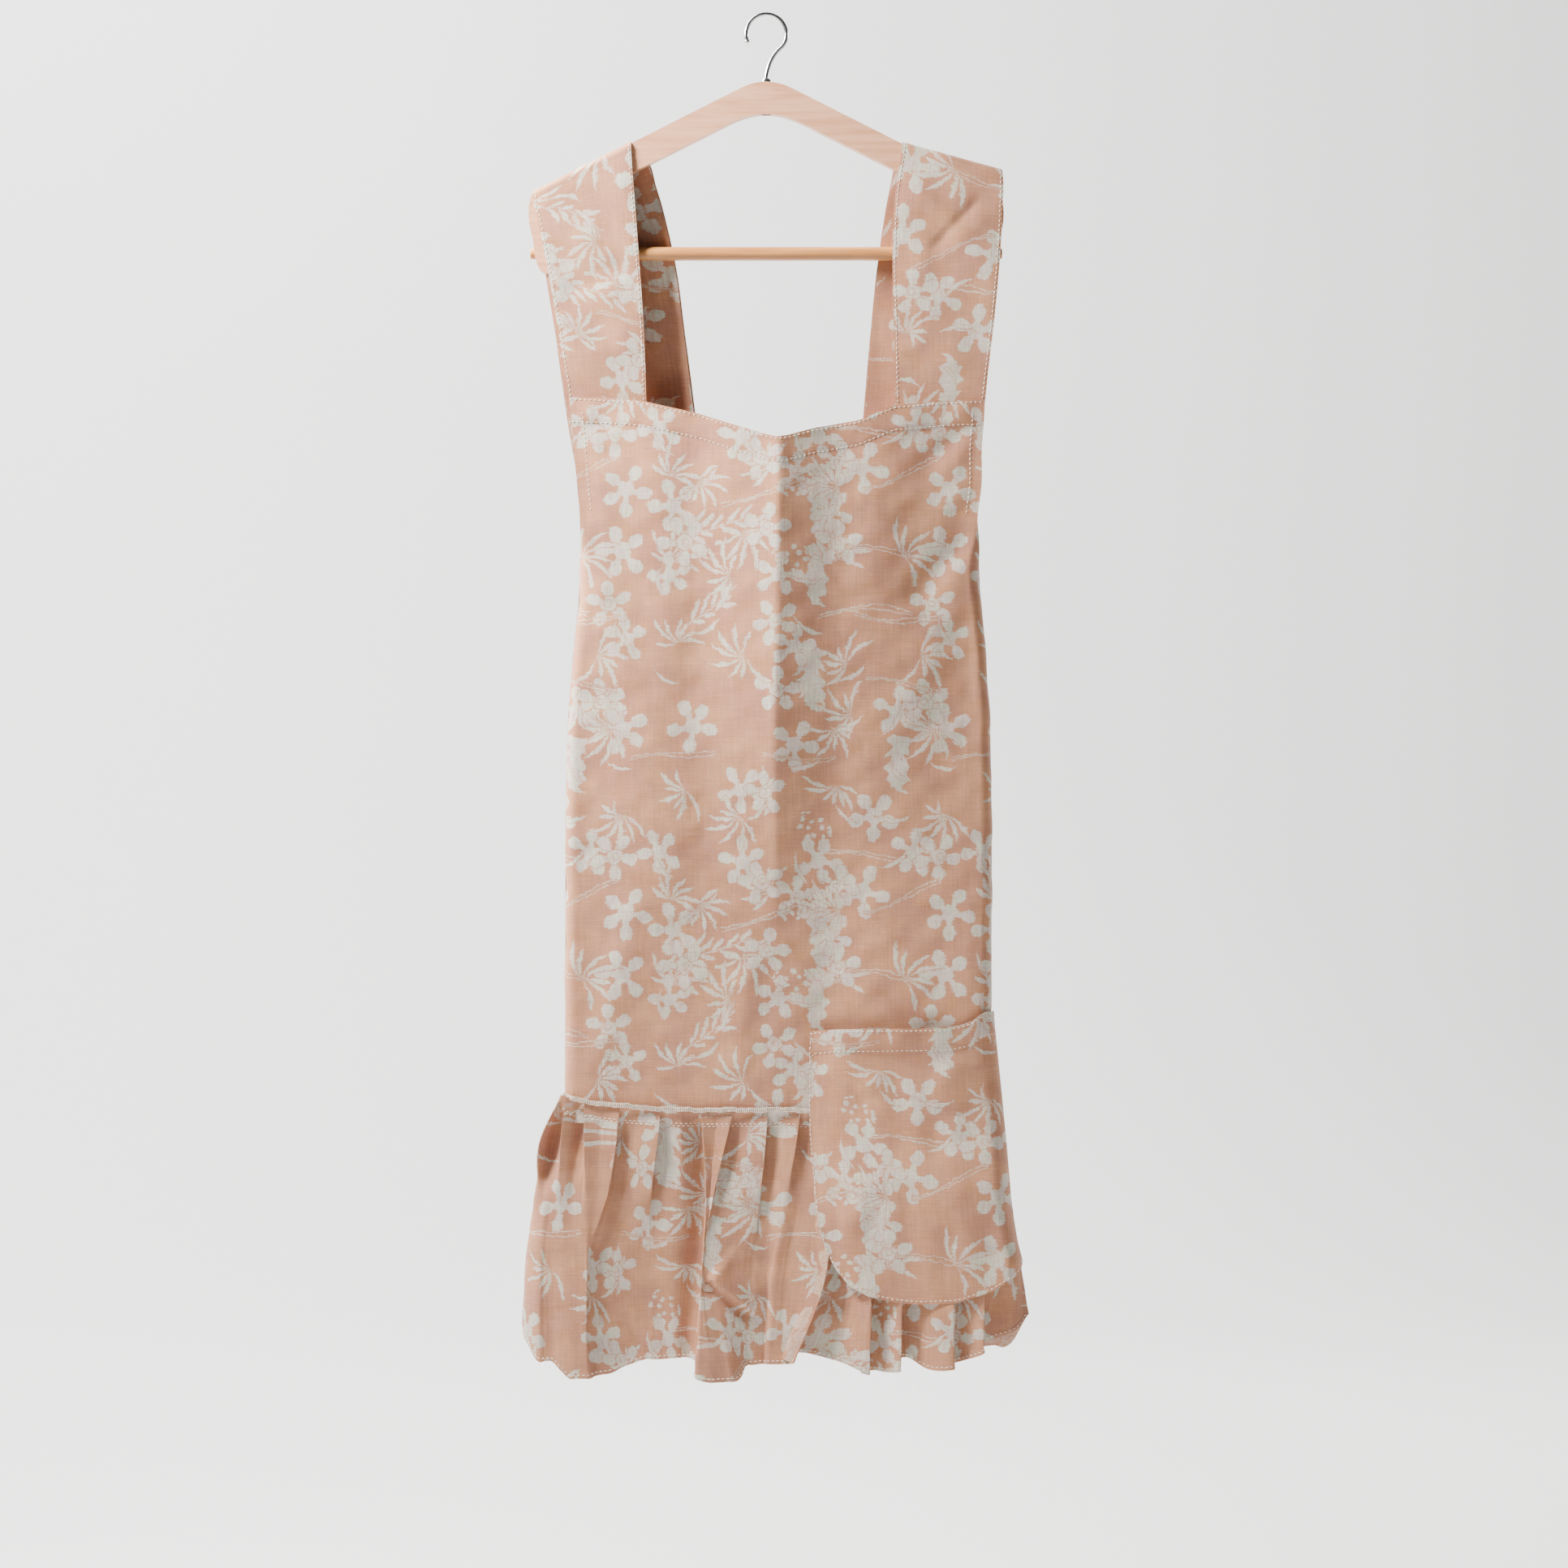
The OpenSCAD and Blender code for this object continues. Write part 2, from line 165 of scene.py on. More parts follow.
def cubic(a, b, slope_a, slope_b, t):
    """Cubic curve from a (t = 0) to b (t = 1) that leaves and arrives with the given slopes."""
    return (a * (2 * t ** 3 - 3 * t ** 2 + 1) + slope_a * (t ** 3 - 2 * t ** 2 + t)
            + b * (-2 * t ** 3 + 3 * t ** 2) + slope_b * (t ** 3 - t ** 2))


# ------------------------------------------------------------------ mesh helpers
def link_mesh(name, verts, faces, materials, face_slots=None, uvs=None):
    mesh = bpy.data.meshes.new(name)
    mesh.vertices.add(len(verts))
    mesh.vertices.foreach_set("co", (np.asarray(verts, dtype=np.float64) * MM).astype(np.float32).ravel())
    faces = np.asarray(faces, dtype=np.int32)
    mesh.loops.add(faces.size)
    mesh.loops.foreach_set("vertex_index", faces.ravel())
    mesh.polygons.add(len(faces))
    mesh.polygons.foreach_set("loop_start", np.arange(0, faces.size, faces.shape[1], dtype=np.int32))
    if face_slots is not None:
        mesh.polygons.foreach_set("material_index", np.asarray(face_slots, dtype=np.int32))
    mesh.update(calc_edges=True)
    mesh.polygons.foreach_set("use_smooth", np.ones(len(faces), dtype=bool))
    if uvs is not None:
        layer = mesh.uv_layers.new(name="flat")
        layer.data.foreach_set("uv", (np.asarray(uvs)[faces.ravel()] * MM).astype(np.float32).ravel())
    for material in materials:
        mesh.materials.append(material)
    mesh.validate()
    piece = bpy.data.objects.new(name, mesh)
    bpy.context.collection.objects.link(piece)
    return piece


def normals_of(points):
    across = np.gradient(points, axis=1)
    down = np.gradient(points, axis=0)
    normal = np.cross(across, down)
    length = np.linalg.norm(normal, axis=2, keepdims=True)
    return normal / np.maximum(length, 1e-9)


class Cloth:
    """A layer of cloth: a grid of points with, for each, its place in the uncut fabric."""

    def __init__(self, points, flat, outward=1):
        self.points = points
        self.flat = flat
        self.normal = normals_of(points) * outward
        self.outward = outward

    def build(self, name, outside, inside, thick=LINEN_T):
        rows, cols = self.points.shape[:2]
        front = self.points + self.normal * thick / 2
        back = self.points - self.normal * thick / 2
        verts = np.concatenate([front.reshape(-1, 3), back.reshape(-1, 3)])
        uvs = np.concatenate([self.flat.reshape(-1, 2)] * 2)
        grid = np.arange(rows * cols).reshape(rows, cols)
        quads = np.stack([grid[:-1, :-1], grid[:-1, 1:], grid[1:, 1:], grid[1:, :-1]], axis=-1).reshape(-1, 4)
        if self.outward < 0:
            quads = quads[:, ::-1]
        rim = np.concatenate([grid[0, :], grid[1:, -1], grid[-1, -2::-1], grid[-2:0:-1, 0]])
        after = np.roll(rim, -1)
        other = rows * cols
        edge = np.stack([rim, rim + other, after + other, after], axis=-1)
        if self.outward < 0:
            edge = edge[:, ::-1]
        faces = np.concatenate([quads, quads[:, ::-1] + other, edge])
        slots = np.concatenate([np.zeros(len(quads)), np.ones(len(quads)), np.zeros(len(edge))])
        piece = link_mesh(name, verts, faces, [outside, inside], slots, uvs)
        piece.data.set_sharp_from_angle(angle=math.radians(50))
        return piece

    def at(self, row, col):
        """Point and normal at fractional grid places (arrays)."""
        rows, cols = self.points.shape[:2]
        r = np.clip(np.asarray(row, dtype=float), 0, rows - 1.001)
        c = np.clip(np.asarray(col, dtype=float), 0, cols - 1.001)
        i, j = r.astype(int), c.astype(int)
        fr, fc = (r - i)[:, None], (c - j)[:, None]

        def blend(a):
            top = a[i, j] * (1 - fc) + a[i, j + 1] * fc
            low = a[i + 1, j] * (1 - fc) + a[i + 1, j + 1] * fc
            return top * (1 - fr) + low * fr
        return blend(self.points), blend(self.normal)

    def area(self):
        across = self.points[:, 1:] - self.points[:, :-1]
        down = self.points[1:] - self.points[:-1]
        return float(np.linalg.norm(np.cross(across[:-1], down[:, :-1]), axis=2).sum()) * MM * MM

    def cut_size(self):
        """Width and length of the flat piece of cloth, in metres, at its widest and longest."""
        across = np.linalg.norm(np.diff(self.points, axis=1), axis=2).sum(axis=1).max()
        down = np.linalg.norm(np.diff(self.points, axis=0), axis=2).sum(axis=0).max()
        return round(float(across) * MM + SPARE, 3), round(float(down) * MM + SPARE, 3)

    def strip_size(self):
        """Width and length, in metres, of the straight strip that a strap was cut from."""
        length = self.cut_size()[1]
        return round(self.area() / length + SPARE, 3), length

    def outline_size(self):
        """Width and length, in metres, of the smallest rectangle round the flat piece of cloth."""
        width, length = np.ptp(self.flat.reshape(-1, 2), axis=0)
        return round(float(width) * MM + SPARE, 3), round(float(length) * MM + SPARE, 3)


def resample(path, normal, step):
    """Points every step mm along a path, with the normals there."""
    along = distances(path)
    places = np.arange(0, along[-1], step)

    def at_places(line):
        return np.stack([np.interp(places, along, line[:, k]) for k in range(3)], axis=1)
    return at_places(path), at_places(normal)


def thread_mesh(name, starts, ends, normals, radius, lift, material):
    """Short stitches: each a thin round thread that rises out of the cloth and dips back into it."""
    rings, sides = 5, 6
    t = np.linspace(0, 1, rings)
    along = ends - starts
    unit = along / np.maximum(np.linalg.norm(along, axis=1, keepdims=True), 1e-9)
    side = np.cross(unit, normals)
    side /= np.maximum(np.linalg.norm(side, axis=1, keepdims=True), 1e-9)
    up = np.cross(side, unit)
    turn = np.arange(sides) * 2 * math.pi / sides
    verts, faces = [], []
    ring = np.array([[math.cos(a), math.sin(a)] for a in turn])
    bow = np.sin(math.pi * t) ** 0.6
    wide = radius * (0.45 + 0.55 * bow)
    for k in range(rings):
        centre = starts + along * t[k] + normals * (lift * bow[k] - radius * 0.3)
        around = side[:, None, :] * ring[None, :, :1] + up[:, None, :] * ring[None, :, 1:]
        verts.append(centre[:, None, :] + around * wide[k])
    verts = np.stack(verts, axis=1).reshape(-1, 3)
    base = (np.arange(len(starts)) * rings * sides)[:, None]
    for k in range(rings - 1):
        for s in range(sides):
            nxt = (s + 1) % sides
            quad = np.array([k * sides + s, k * sides + nxt, (k + 1) * sides + nxt, (k + 1) * sides + s])
            faces.append(base + quad[None, ::-1])
    caps = np.array([[0, 1, 2, 3], [0, 3, 4, 5]])
    for cap in caps:
        faces.append(base + cap[None, :])
        faces.append(base + (rings - 1) * sides + cap[None, ::-1])
    return link_mesh(name, verts, np.concatenate(faces), [material])


def stitch_lines(name, lines, material, stitch=3.0, gap=1.5, radius=0.5, lift=0.45):
    """Rows of running stitches along several (path, normal) lines, as one piece."""
    starts, ends, normals = [], [], []
    step = 0.3
    pitch, length = round((stitch + gap) / step), round(stitch / step)
    for path, normal in lines:
        points, leans = resample(path, normal, step)
        first = np.arange(0, len(points) - length - 1, pitch)
        starts.append(points[first])
        ends.append(points[first + length])
        normals.append(leans[first + length // 2])
    return thread_mesh(name, np.concatenate(starts), np.concatenate(ends), np.concatenate(normals),
                       radius, lift, material)


def ride_on_hanger(piece, slot, *nodes):
    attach(piece, "hanger")
    if nodes:
        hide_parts(*nodes)
    return piece


def make_stitching(name, lines, material):
    return ride_on_hanger(stitch_lines(name, lines, material), "overlock_thread")


def make_sheet(name, cloth, outside, inside, node, size=None):
    """Makes a cloth in the place of a CAD node, which it hides, and hangs the cloth from the hanger.

    The cloth is placed without stretching, so its area is the cut's.
    """
    slot = "linen_wrong_side" if outside.name == "linen_inside" else "printed_linen"
    piece = ride_on_hanger(cloth.build(name, outside, inside), slot, node)
    size or cloth.cut_size()
    cloth.area()


# ------------------------------------------------------------------ the apron's shape
def left_edge(z):
    return lookup(z, [(-1045, -188.5), (-748, -187.7), (-660, -185.5), (-600, -181), (-548, -175.5),
                      (-504, -173), (-460, -174.5), (-413, -179.5), (-360, -183.5)])


def right_edge(z):
    return lookup(z, [(-1045, 210.5), (-748, 211.3), (-672, 209.8), (-588, 205), (-535, 200),
                      (-474, 197.6), (-413, 202), (-360, 204.4)])


def neckline(x):
    return lookup(x, [(-184, -358), (-155, -359), (-128, -361), (-112, -363), (-66, -373.5), (-34, -384),
                      (0, -394.5), (9, -396.6), (20, -394.8), (44, -388), (86, -380.5), (120, -366),
                      (165, -362), (204.5, -360)])


def side_fold(z):
    """How far the cloth has turned round each side, in radians: open at the armholes, closed below."""
    return math.pi / 2 * smooth((ARMHOLE_Z + 14 - z) / 60)


# Wrinkles of the front: from the armholes, from the straps' ends and from the seam.
FRONT_TUGS = [
    ((-176, -480), (-96, -560), 13, -2.2), ((-172, -505), (-120, -640), 15, 1.8),
    ((198, -470), (128, -560), 14, -2.4), ((190, -500), (120, -690), 18, 1.9),
    ((-170, -372), (-112, -420), 10, -1.1), ((196, -376), (140, -430), 10, -1.2),
    ((-160, -1000), (-120, -800), 14, 1.6), ((-30, -1010), (-10, -850), 13, 1.5)
]


def front_relief(x, z):
    """How far the front stands forward of its plain shape, in mm."""
    d = x - BIB_MIDDLE - 2 * np.sin(z / 90)
    tent = 30 * (np.exp(-np.sqrt(d * d + 9) / 130) - 0.232)
    crease = (tent + 1.5 * np.exp(-np.sqrt(d * d + 2) / 9)) * smooth((z + 960) / 330)
    folds = 2.6 * np.exp(-((x + 105 - (z + 600) * 0.05) / 34) ** 2) * smooth((z + 1010) / 200)
    folds = folds - 2.2 * np.exp(-((x + 60 + (z + 600) * 0.03) / 26) ** 2) * smooth((z + 1020) / 200)
    folds = folds + 2.4 * np.exp(-((x - 118 + (z + 700) * 0.04) / 40) ** 2)
    folds = folds - 2.0 * np.exp(-((x - 62 - (z + 700) * 0.02) / 24) ** 2)
    sway = ripple(x, z * 0.35, 11, 150, 1.2) + ripple(x, z, 12, 46, 0.42) + ripple(x, z, 13, 17, 0.1)
    return crease + folds + sway + ridges(x, z, FRONT_TUGS)


def front_surface(s, z):
    """Place of the front at arc length s from the middle of its width, at height z."""
    low, high = left_edge(z), right_edge(z)
    turn = side_fold(z)
    middle, half = (low + high) / 2, (high - low) / 2
    flat_half = half - SIDE_ROUND * np.sin(turn)
    past = np.maximum(0, np.abs(s) - flat_half) / SIDE_ROUND
    side = np.sign(s)
    past = np.minimum(past, math.pi / 2)
    x = middle + side * (np.minimum(np.abs(s), flat_half) + SIDE_ROUND * np.sin(past))
    lead = mix(-10.8, -FRONT_DEPTH, smooth((-360 - z) / 100))
    calm = smooth((half - np.abs(x - middle)) / 24)
    y = lead + FRONT_DEPTH * (1 - np.cos(past))
    y = y - front_relief(x, z) * (0.15 + 0.85 * calm) * smooth((z - PANEL_END_Z) / 70 + 0.25)
    edge_wave = ripple(x * 0.2, z, 21, 60, 0.6) * (1 - calm)
    return np.stack([x + edge_wave * side, y, np.broadcast_to(z, x.shape)], axis=-1)


def front_half_length(z):
    turn = side_fold(z)
    return (right_edge(z) - left_edge(z)) / 2 - SIDE_ROUND * np.sin(turn) + SIDE_ROUND * turn


def front_panel():
    """The bib and skirt front, a little thicker within the bib's turned hem."""
    u = np.linspace(0, 1, 150)[None, :]
    v = np.linspace(0, 1, 226)[:, None]
    z = mix(neckline(mix(*BIB_SIDES, u)), PANEL_END_Z, v)
    s = (u * 2 - 1) * front_half_length(z)
    points = front_surface(s, z)
    flat = np.stack([s + (left_edge(z) + right_edge(z)) / 2, z], axis=-1)
    below_edge = points[:1, :, 2] - points[..., 2]
    points[..., 1] -= HEM_SWELL * smooth((BIB_HEM + 1 - below_edge) / 3)
    return Cloth(points, flat, -1)


def bib_facing():
    """The turned hem: hangs just behind the bib, and stands off where the straps' ends are."""
    u = np.linspace(0.004, 0.996, 150)[None, :]
    v = np.linspace(0, 1, 12)[:, None]
    top = neckline(mix(*BIB_SIDES, u)) - 0.4
    z = mix(top, top - BIB_HEM, v)
    s = (u * 2 - 1) * front_half_length(z)
    points = front_surface(s, z)
    points[..., 1] += 0.6 + 2.9 * smooth(v * 5) * strap_room(points[..., 0])
    return Cloth(points, np.stack([s, -z], axis=-1), -1)


def strap_room(x):
    """Where the straps' ends are held inside the bib's hem, the facing stands off to make room for them."""
    left = smooth((x + 190) / 4) * smooth((-108 - x) / 5)
    right = smooth((x - 116) / 5) * smooth((208 - x) / 4)
    return 0.18 + 0.82 * np.maximum(left, right)


# ------------------------------------------------------------------ straps
# Each row is (outer x, outer z, inner x, inner z, y), from inside the bib, over the board, to the wing.
LEFT_STRAP = [
    (-184, -380, -112, -384, -9.3), (-185, -360, -112, -365, -9.3), (-190, -325, -113, -330, -10.3),
    (-197, -280, -115, -285, -10.6), (-206, -230, -118.5, -232, -10.0), (-214, -190, -123, -172, -9.2),
    (-218, -173, -126.2, -128, -8.6), (-218.3, -167.6, -126.4, -121.6, -8.0),
    (-218.3, -165, -126.4, -118.4, -5.2), (-218.3, -164.6, -126.4, -117.9, 0),
    (-218.3, -165, -126.4, -118.4, 5.2), (-218, -167.6, -124, -121.6, 8.0), (-217.6, -173, -115, -129, 8.6),
    (-215, -195, -102.5, -161, 9.0), (-210, -225, -87, -222, 9.2), (-199, -292, -76.5, -294, 10.5),
    (-187.5, -374, -66, -376, 12.2), (-165, -498, -51, -500, 12.8)
]
RIGHT_STRAP = [
    (203, -382, 121, -386, -9.3), (204.4, -362, 120.8, -367, -9.3), (208, -330, 120, -332, -10.4),
    (213, -288, 119.3, -290, -10.8), (219, -222, 118.2, -226, -10.2), (221.3, -178, 121, -165, -9.4),
    (221.8, -155, 126.5, -129, -9.0), (221.4, -147.5, 127.5, -122.4, -8.2),
    (220.6, -144.6, 127.5, -119, -5.2), (220.2, -144, 127.5, -118.4, 0),
    (220.6, -144.6, 127.5, -119, 5.2), (221.4, -147.5, 127, -122.4, 8.0), (221.5, -155, 124, -129, 8.6),
    (219, -185, 115, -165, 8.6), (217, -226, 105, -228, 8.6), (212, -292, 98, -294, 8.4),
    (204, -374, 91, -376, 8.4), (187, -498, 83, -500, 8.2)
]


def spline_rows(rows, count):
    """Smooth curve through the rows, as count rows, and how far along the strap each of them is."""
    rows = np.array(rows, dtype=float)
    centre = np.stack([(rows[:, 0] + rows[:, 2]) / 2, (rows[:, 1] + rows[:, 3]) / 2, rows[:, 4]], axis=1)
    along = distances(centre)
    slope = np.gradient(rows, along, axis=0)
    bend = np.interp(np.linspace(0, 1, count), np.linspace(0, 1, len(along)), along)
    even = np.linspace(0, along[-1], count)
    place = np.sort(mix(bend, even, 0.55))
    seat = np.clip(np.searchsorted(along, place, side="right") - 1, 0, len(along) - 2)
    span = along[seat + 1] - along[seat]
    t = ((place - along[seat]) / span)[:, None]
    lean = span[:, None]
    return cubic(rows[seat], rows[seat + 1], slope[seat] * lean, slope[seat + 1] * lean, t), place


def strap_relief(x, z, front, right):
    """Wrinkles of a strap, in mm outwards."""
    if right and front:
        tugs = [((150, -224), (205, -166), 4.5, -1.2), ((160, -234), (212, -182), 7, 0.8),
                ((128, -150), (190, -210), 9, 1.1), ((125, -300), (206, -330), 16, 1.0)]
    elif front:
        tugs = [((-205, -190), (-135, -235), 12, 1.3), ((-195, -262), (-122, -232), 10, -1.2),
                ((-188, -330), (-120, -300), 16, 1.0)]
    else:
        side = 1 if right else -1
        tugs = [((side * 190, -210), (side * 100, -260), 13, 1.3)]
    return ridges(x, z, tugs) + ripple(x, z, 31 + right, 60, 0.5) + ripple(x, z, 33 + front, 22, 0.14)


def strap(rows, right):
    curve, place = spline_rows(rows, 250)
    t = np.linspace(0, 1, 38)[None, :]
    x = mix(curve[:, 0:1], curve[:, 2:3], t)
    z = mix(curve[:, 1:2], curve[:, 3:4], t)
    y = np.broadcast_to(curve[:, 4:5], x.shape)
    points = np.stack([x, y, z], axis=-1)
    outward = -1 if right else 1
    normal = normals_of(points) * outward
    over = np.exp(-(points[..., 1] / 7.0) ** 4)[..., None]
    hang = (smooth((place - 26) / 40) * smooth((place[-1] - 30 - place) / 40))[:, None, None]
    relief = np.where(y < 0, strap_relief(x, z, True, right), strap_relief(x, z, False, right))[..., None]
    curl = (np.exp(-(t / 0.05) ** 2) + np.exp(-((t - 1) / 0.05) ** 2))[..., None] * 0.35
    points = points + normal * (relief - curl) * (1 - over) * hang
    width = abs(rows[3][2] - rows[3][0])
    flat = np.stack(np.broadcast_arrays(t * width, -place[:, None]), axis=-1)
    return Cloth(points, flat + np.array(RIGHT_STRAP_CUT if right else (0.0, 0.0)), outward)


def lining(outer):
    """The strap's lining: a second layer just inside the outer cloth, a hair narrower."""
    points = outer.points - outer.normal * LINING_GAP
    trimmed = points.copy()
    trimmed[:, 0] = mix(points[:, 0], points[:, 1], 0.4)
    trimmed[:, -1] = mix(points[:, -1], points[:, -2], 0.4)
    return Cloth(trimmed, outer.flat + np.array(LINING_CUT), outer.outward)


# ------------------------------------------------------------------ back wings
def wing(side, depth):
    """The cloth that turns round one side (-1 is the left) and lies depth mm behind the middle."""
    v = np.linspace(0, 1, 150)[:, None]
    t = np.linspace(0, 1, 140)[None, :] ** 1.12
    top = ARMHOLE_Z + 3 + 4 * smooth(t * 6) - 5 * smooth((t - 0.5) * 3)
    z = mix(top, PANEL_END_Z, v)
    edge = left_edge(z) if side < 0 else right_edge(z)
    s = (np.abs(edge) + WING_FREE + SIDE_ROUND * (math.pi / 2 - 1)) * t
    past = np.minimum(s / SIDE_ROUND, math.pi / 2)
    run = np.maximum(0, s - SIDE_ROUND * math.pi / 2)
    x = edge - side * (SIDE_ROUND * (1 - np.cos(past)) + run)
    calm = smooth(s / 40)
    sag = (ripple(x, z * 0.3, 41 + side, 120, 1.2) + ripple(x, z, 44 + side, 40, 0.4)) * calm
    hang = 2.2 * np.sin(x / 48 + side) * smooth((ARMHOLE_Z - 40 - z) / 260) * calm
    y = 0.2 + (depth - 0.2) * np.sin(past) + np.clip(sag + hang, -3.2, 3.2) * 0.6
    flat = np.stack([side * (s + 200), z], axis=-1)
    return Cloth(np.stack([x, y, z], axis=-1), flat, 1 if side < 0 else -1)


# ------------------------------------------------------------------ ruffles
# The knife pleats of the front ruffle, left to right: the fold's x at the seam, a third and two thirds of the
# way down and at the hem; how far down it stays folded, in ruffle lengths; which layer lies on top (1 is the
# left one); how wide it is folded; then (y, height) at the hem of its front layer, of its back layer and of
# the middle of the cloth to its right.
FRONT_PLEATS = [
    (-187, -199, -206, -206, 0.5, -1, 8, (-22, -1258), (-21, -1257), (-25, -1266)),
    (-169.5, -174, -174, -176, 0.45, -1, 9, (-28, -1273), (-27, -1273), (-27, -1273)),
    (-136.5, -145, -166, -152, 0.8, 1, 13, (-23, -1271), (-18, -1269), (-14, -1262)),
    (-98.5, -103.5, -107, -106, 0.6, 1, 12, (-12, -1257), (-12, -1257), (-12, -1256)),
    (-61, -56, -61, -68, 3.0, -1, 14, (-31, -1271), (-14, -1256), (-35, -1275.5)),
    (-31, -46, -50, -36, 0.62, 1, 14, (-34, -1275.5), (-32, -1275), (-27, -1272)),
    (1.5, -2, -10, -12, 0.64, 1, 11, (-22, -1262), (-21, -1260), (-21, -1260)),
    (32, 26, 14, 8, 0.4, 1, 12, (-24, -1260), (-24, -1260), (-27, -1259.5)),
    (60, 61, 56, 27.5, 3.0, 1, 17, (-31, -1258), (-19, -1250), (-24, -1256)),
    (101, 101, 99, 96.5, 3.0, 1, 12, (-31, -1268.5), (-23, -1266), (-27, -1267)),
    (127, 127.5, 127.5, 127, 3.0, 1, 11, (-30, -1266), (-22, -1254), (-29, -1264.5)),
    (176, 176, 176, 176, 3.0, 1, 11, (-31, -1264), (-23, -1258), (-27, -1254)),
    (203, 204, 204.5, 204.5, 3.0, 1, 8, (-29, -1249), (-18, -1238), (-20, -1240))
]
# The bends at the two sides of the skirt: x and y at the seam, x half-way down, x, y and height at the hem.
FRONT_LEFT_SIDE = [(-191, -1, -219, -228, -1, -1232), (-191, -9, -218, -224, -10, -1240)]
FRONT_RIGHT_SIDE = [(213, -9, 228, 231, -12, -1231), (214, -1, 230, 246, -1, -1216)]
PLEAT_FRONT_Y, PLEAT_BACK_Y = -16.2, -14.0


def curve_through(values, places, soft):
    """Curve through values at 0, 1, 2..., read at places. Its corners are rounder where soft is larger."""
    slope = np.zeros_like(values)
    slope[1:-1] = (values[2:] - values[:-2]) / 2
    slope[0], slope[-1] = values[1] - values[0], values[-1] - values[-2]
    seat = np.clip(places.astype(int), 0, len(values) - 2)
    return cubic(values[seat], values[seat + 1], slope[seat] * soft, slope[seat + 1] * soft, places - seat)


def drop(w):
    """How far the cloth has swung from its place at the seam to its place at the hem, w of the way down."""
    return smooth(w * 1.08) ** 0.8


def table_bends(folds, w):
    """Bends (x, y, hem height) of cloth w of the way down, from a table like FRONT_LEFT_SIDE."""
    folds = np.array(folds, dtype=float)
    x = folds[:, 0] * (1 - w) * (1 - 2 * w) + folds[:, 2] * 4 * w * (1 - w) + folds[:, 3] * w * (2 * w - 1)
    return np.stack([x, mix(folds[:, 1], folds[:, 4], drop(w)), folds[:, 5]], axis=1)


def pleat_bends(pleats, w):
    """Bends (x, y, hem height) of knife pleats, w of the way down: three a pleat and one between two."""
    bends, between = [], []
    for seam, third, two_thirds, hem, length, top, width, front, back, middle in pleats:
        x = curve_through(np.array([seam, third, two_thirds, hem], dtype=float), np.array([w * 3.0]), 1.0)[0]
        opened = float(smooth(w / length))
        folded, spread = width * (1 - opened), 7.0 * opened
        closed = (1 - opened) * float(smooth(w / 0.12))
        front_y = mix(PLEAT_FRONT_Y, front[0], drop(w)) - 2.2 * closed
        back_y = mix(PLEAT_BACK_Y, back[0], drop(w)) + (7 if top < 0 else 3.5) * closed
        edge = (x - top * spread, front_y, front[1])
        turn = (x - top * folded, (front_y + back_y) / 2, (front[1] + back[1]) / 2)
        under = (x + top * (3.0 + spread * 0.6), back_y, back[1])
        bends.append((edge, turn, under) if top > 0 else (under, turn, edge))
        between.append((mix(-15.0, middle[0], drop(w)), middle[1]))
    rows = list(bends[0])
    for before, after, gap in zip(bends, bends[1:], between):
        rows.append(((before[2][0] + after[0][0]) / 2, *gap))
        rows += after
    return np.array(rows)


def front_bends(w):
    """The front ruffle's bends. Its left side swells out and forward below the seam, over a deep hollow."""
    left, pleats = table_bends(FRONT_LEFT_SIDE, w), pleat_bends(FRONT_PLEATS, w)
    swell = math.exp(-((w - 0.19) / 0.13) ** 2)
    left[:, 0] -= 7.5 * swell
    left[1, 1] -= 8 * swell
    pleats[0] += (-3 * swell, 9 * swell, 0)
    return np.concatenate([left, pleats, table_bends(FRONT_RIGHT_SIDE, w)])


def ruffle(bends_of, seam_of, rows, per_bend, seed, outward, tuck=None):
    """Pleated cloth from a seam down to a hem. bends_of(w) gives its bends w of the way down."""
    v = np.linspace(0, 1, rows)[:, None] ** 0.9
    count = len(bends_of(0.0))
    places = np.linspace(0, count - 1, (count - 1) * per_bend + 1)
    points = np.zeros((rows, len(places), 3))
    for line, w in zip(points, v[:, 0]):
        bends = bends_of(w)
        soft = 0.5 + 0.75 * smooth(w * 1.6)
        line[:, 0] = curve_through(bends[:, 0], places, soft)
        line[:, 1] = curve_through(bends[:, 1], places, soft)
        line[:, 2] = mix(seam_of(line[:, 0]), curve_through(bends[:, 2], places, 1.0), w)
    arc = distances(points[int(rows * 0.6), :, :2])
    fall = points[:, :1, 2].mean() - points[..., 2]
    flat = np.stack([np.broadcast_to(arc, fall.shape), -fall], axis=-1)
    crumple = ripple(arc, -fall, seed, 34, 0.5) + ripple(arc, -fall, seed + 1, 13, 0.12)
    crumple = crumple * smooth(v * 3) + 0.45 * smooth((v - 0.982) / 0.008)
    if tuck:
        crumple = crumple + tuck(points[..., 0], points[..., 2])
    return Cloth(points + normals_of(points) * outward * crumple[..., None], flat, outward)


def front_tuck(x, z):
    """A crease that runs down to the right across the middle of the front ruffle."""
    (x0, z0), (x1, z1) = (-57, -1178), (-8, -1217)
    length = math.hypot(x1 - x0, z1 - z0)
    along = ((x - x0) * (x1 - x0) + (z - z0) * (z1 - z0)) / length
    above = ((z - z0) * (x1 - x0) - (x - x0) * (z1 - z0)) / length
    ends = smooth(along / 9) * smooth((length - along) / 16)
    raised = 7.5 * smooth((above + 1.5) / 3.0) * np.exp(-np.maximum(above, 0) / 20)
    return ends * (raised - 3.5 * np.exp(-((above + 5) / 6) ** 2))


def seam_front(x):
    """Height of the ruffle's top edge along the front, sagging a little towards the middle."""
    return lookup(x, [(-192, -1010), (-170, -1016), (-137, -1020), (-98, -1023), (-60, -1024), (20, -1024),
                      (100, -1026), (190, -1022), (214, -1016)])


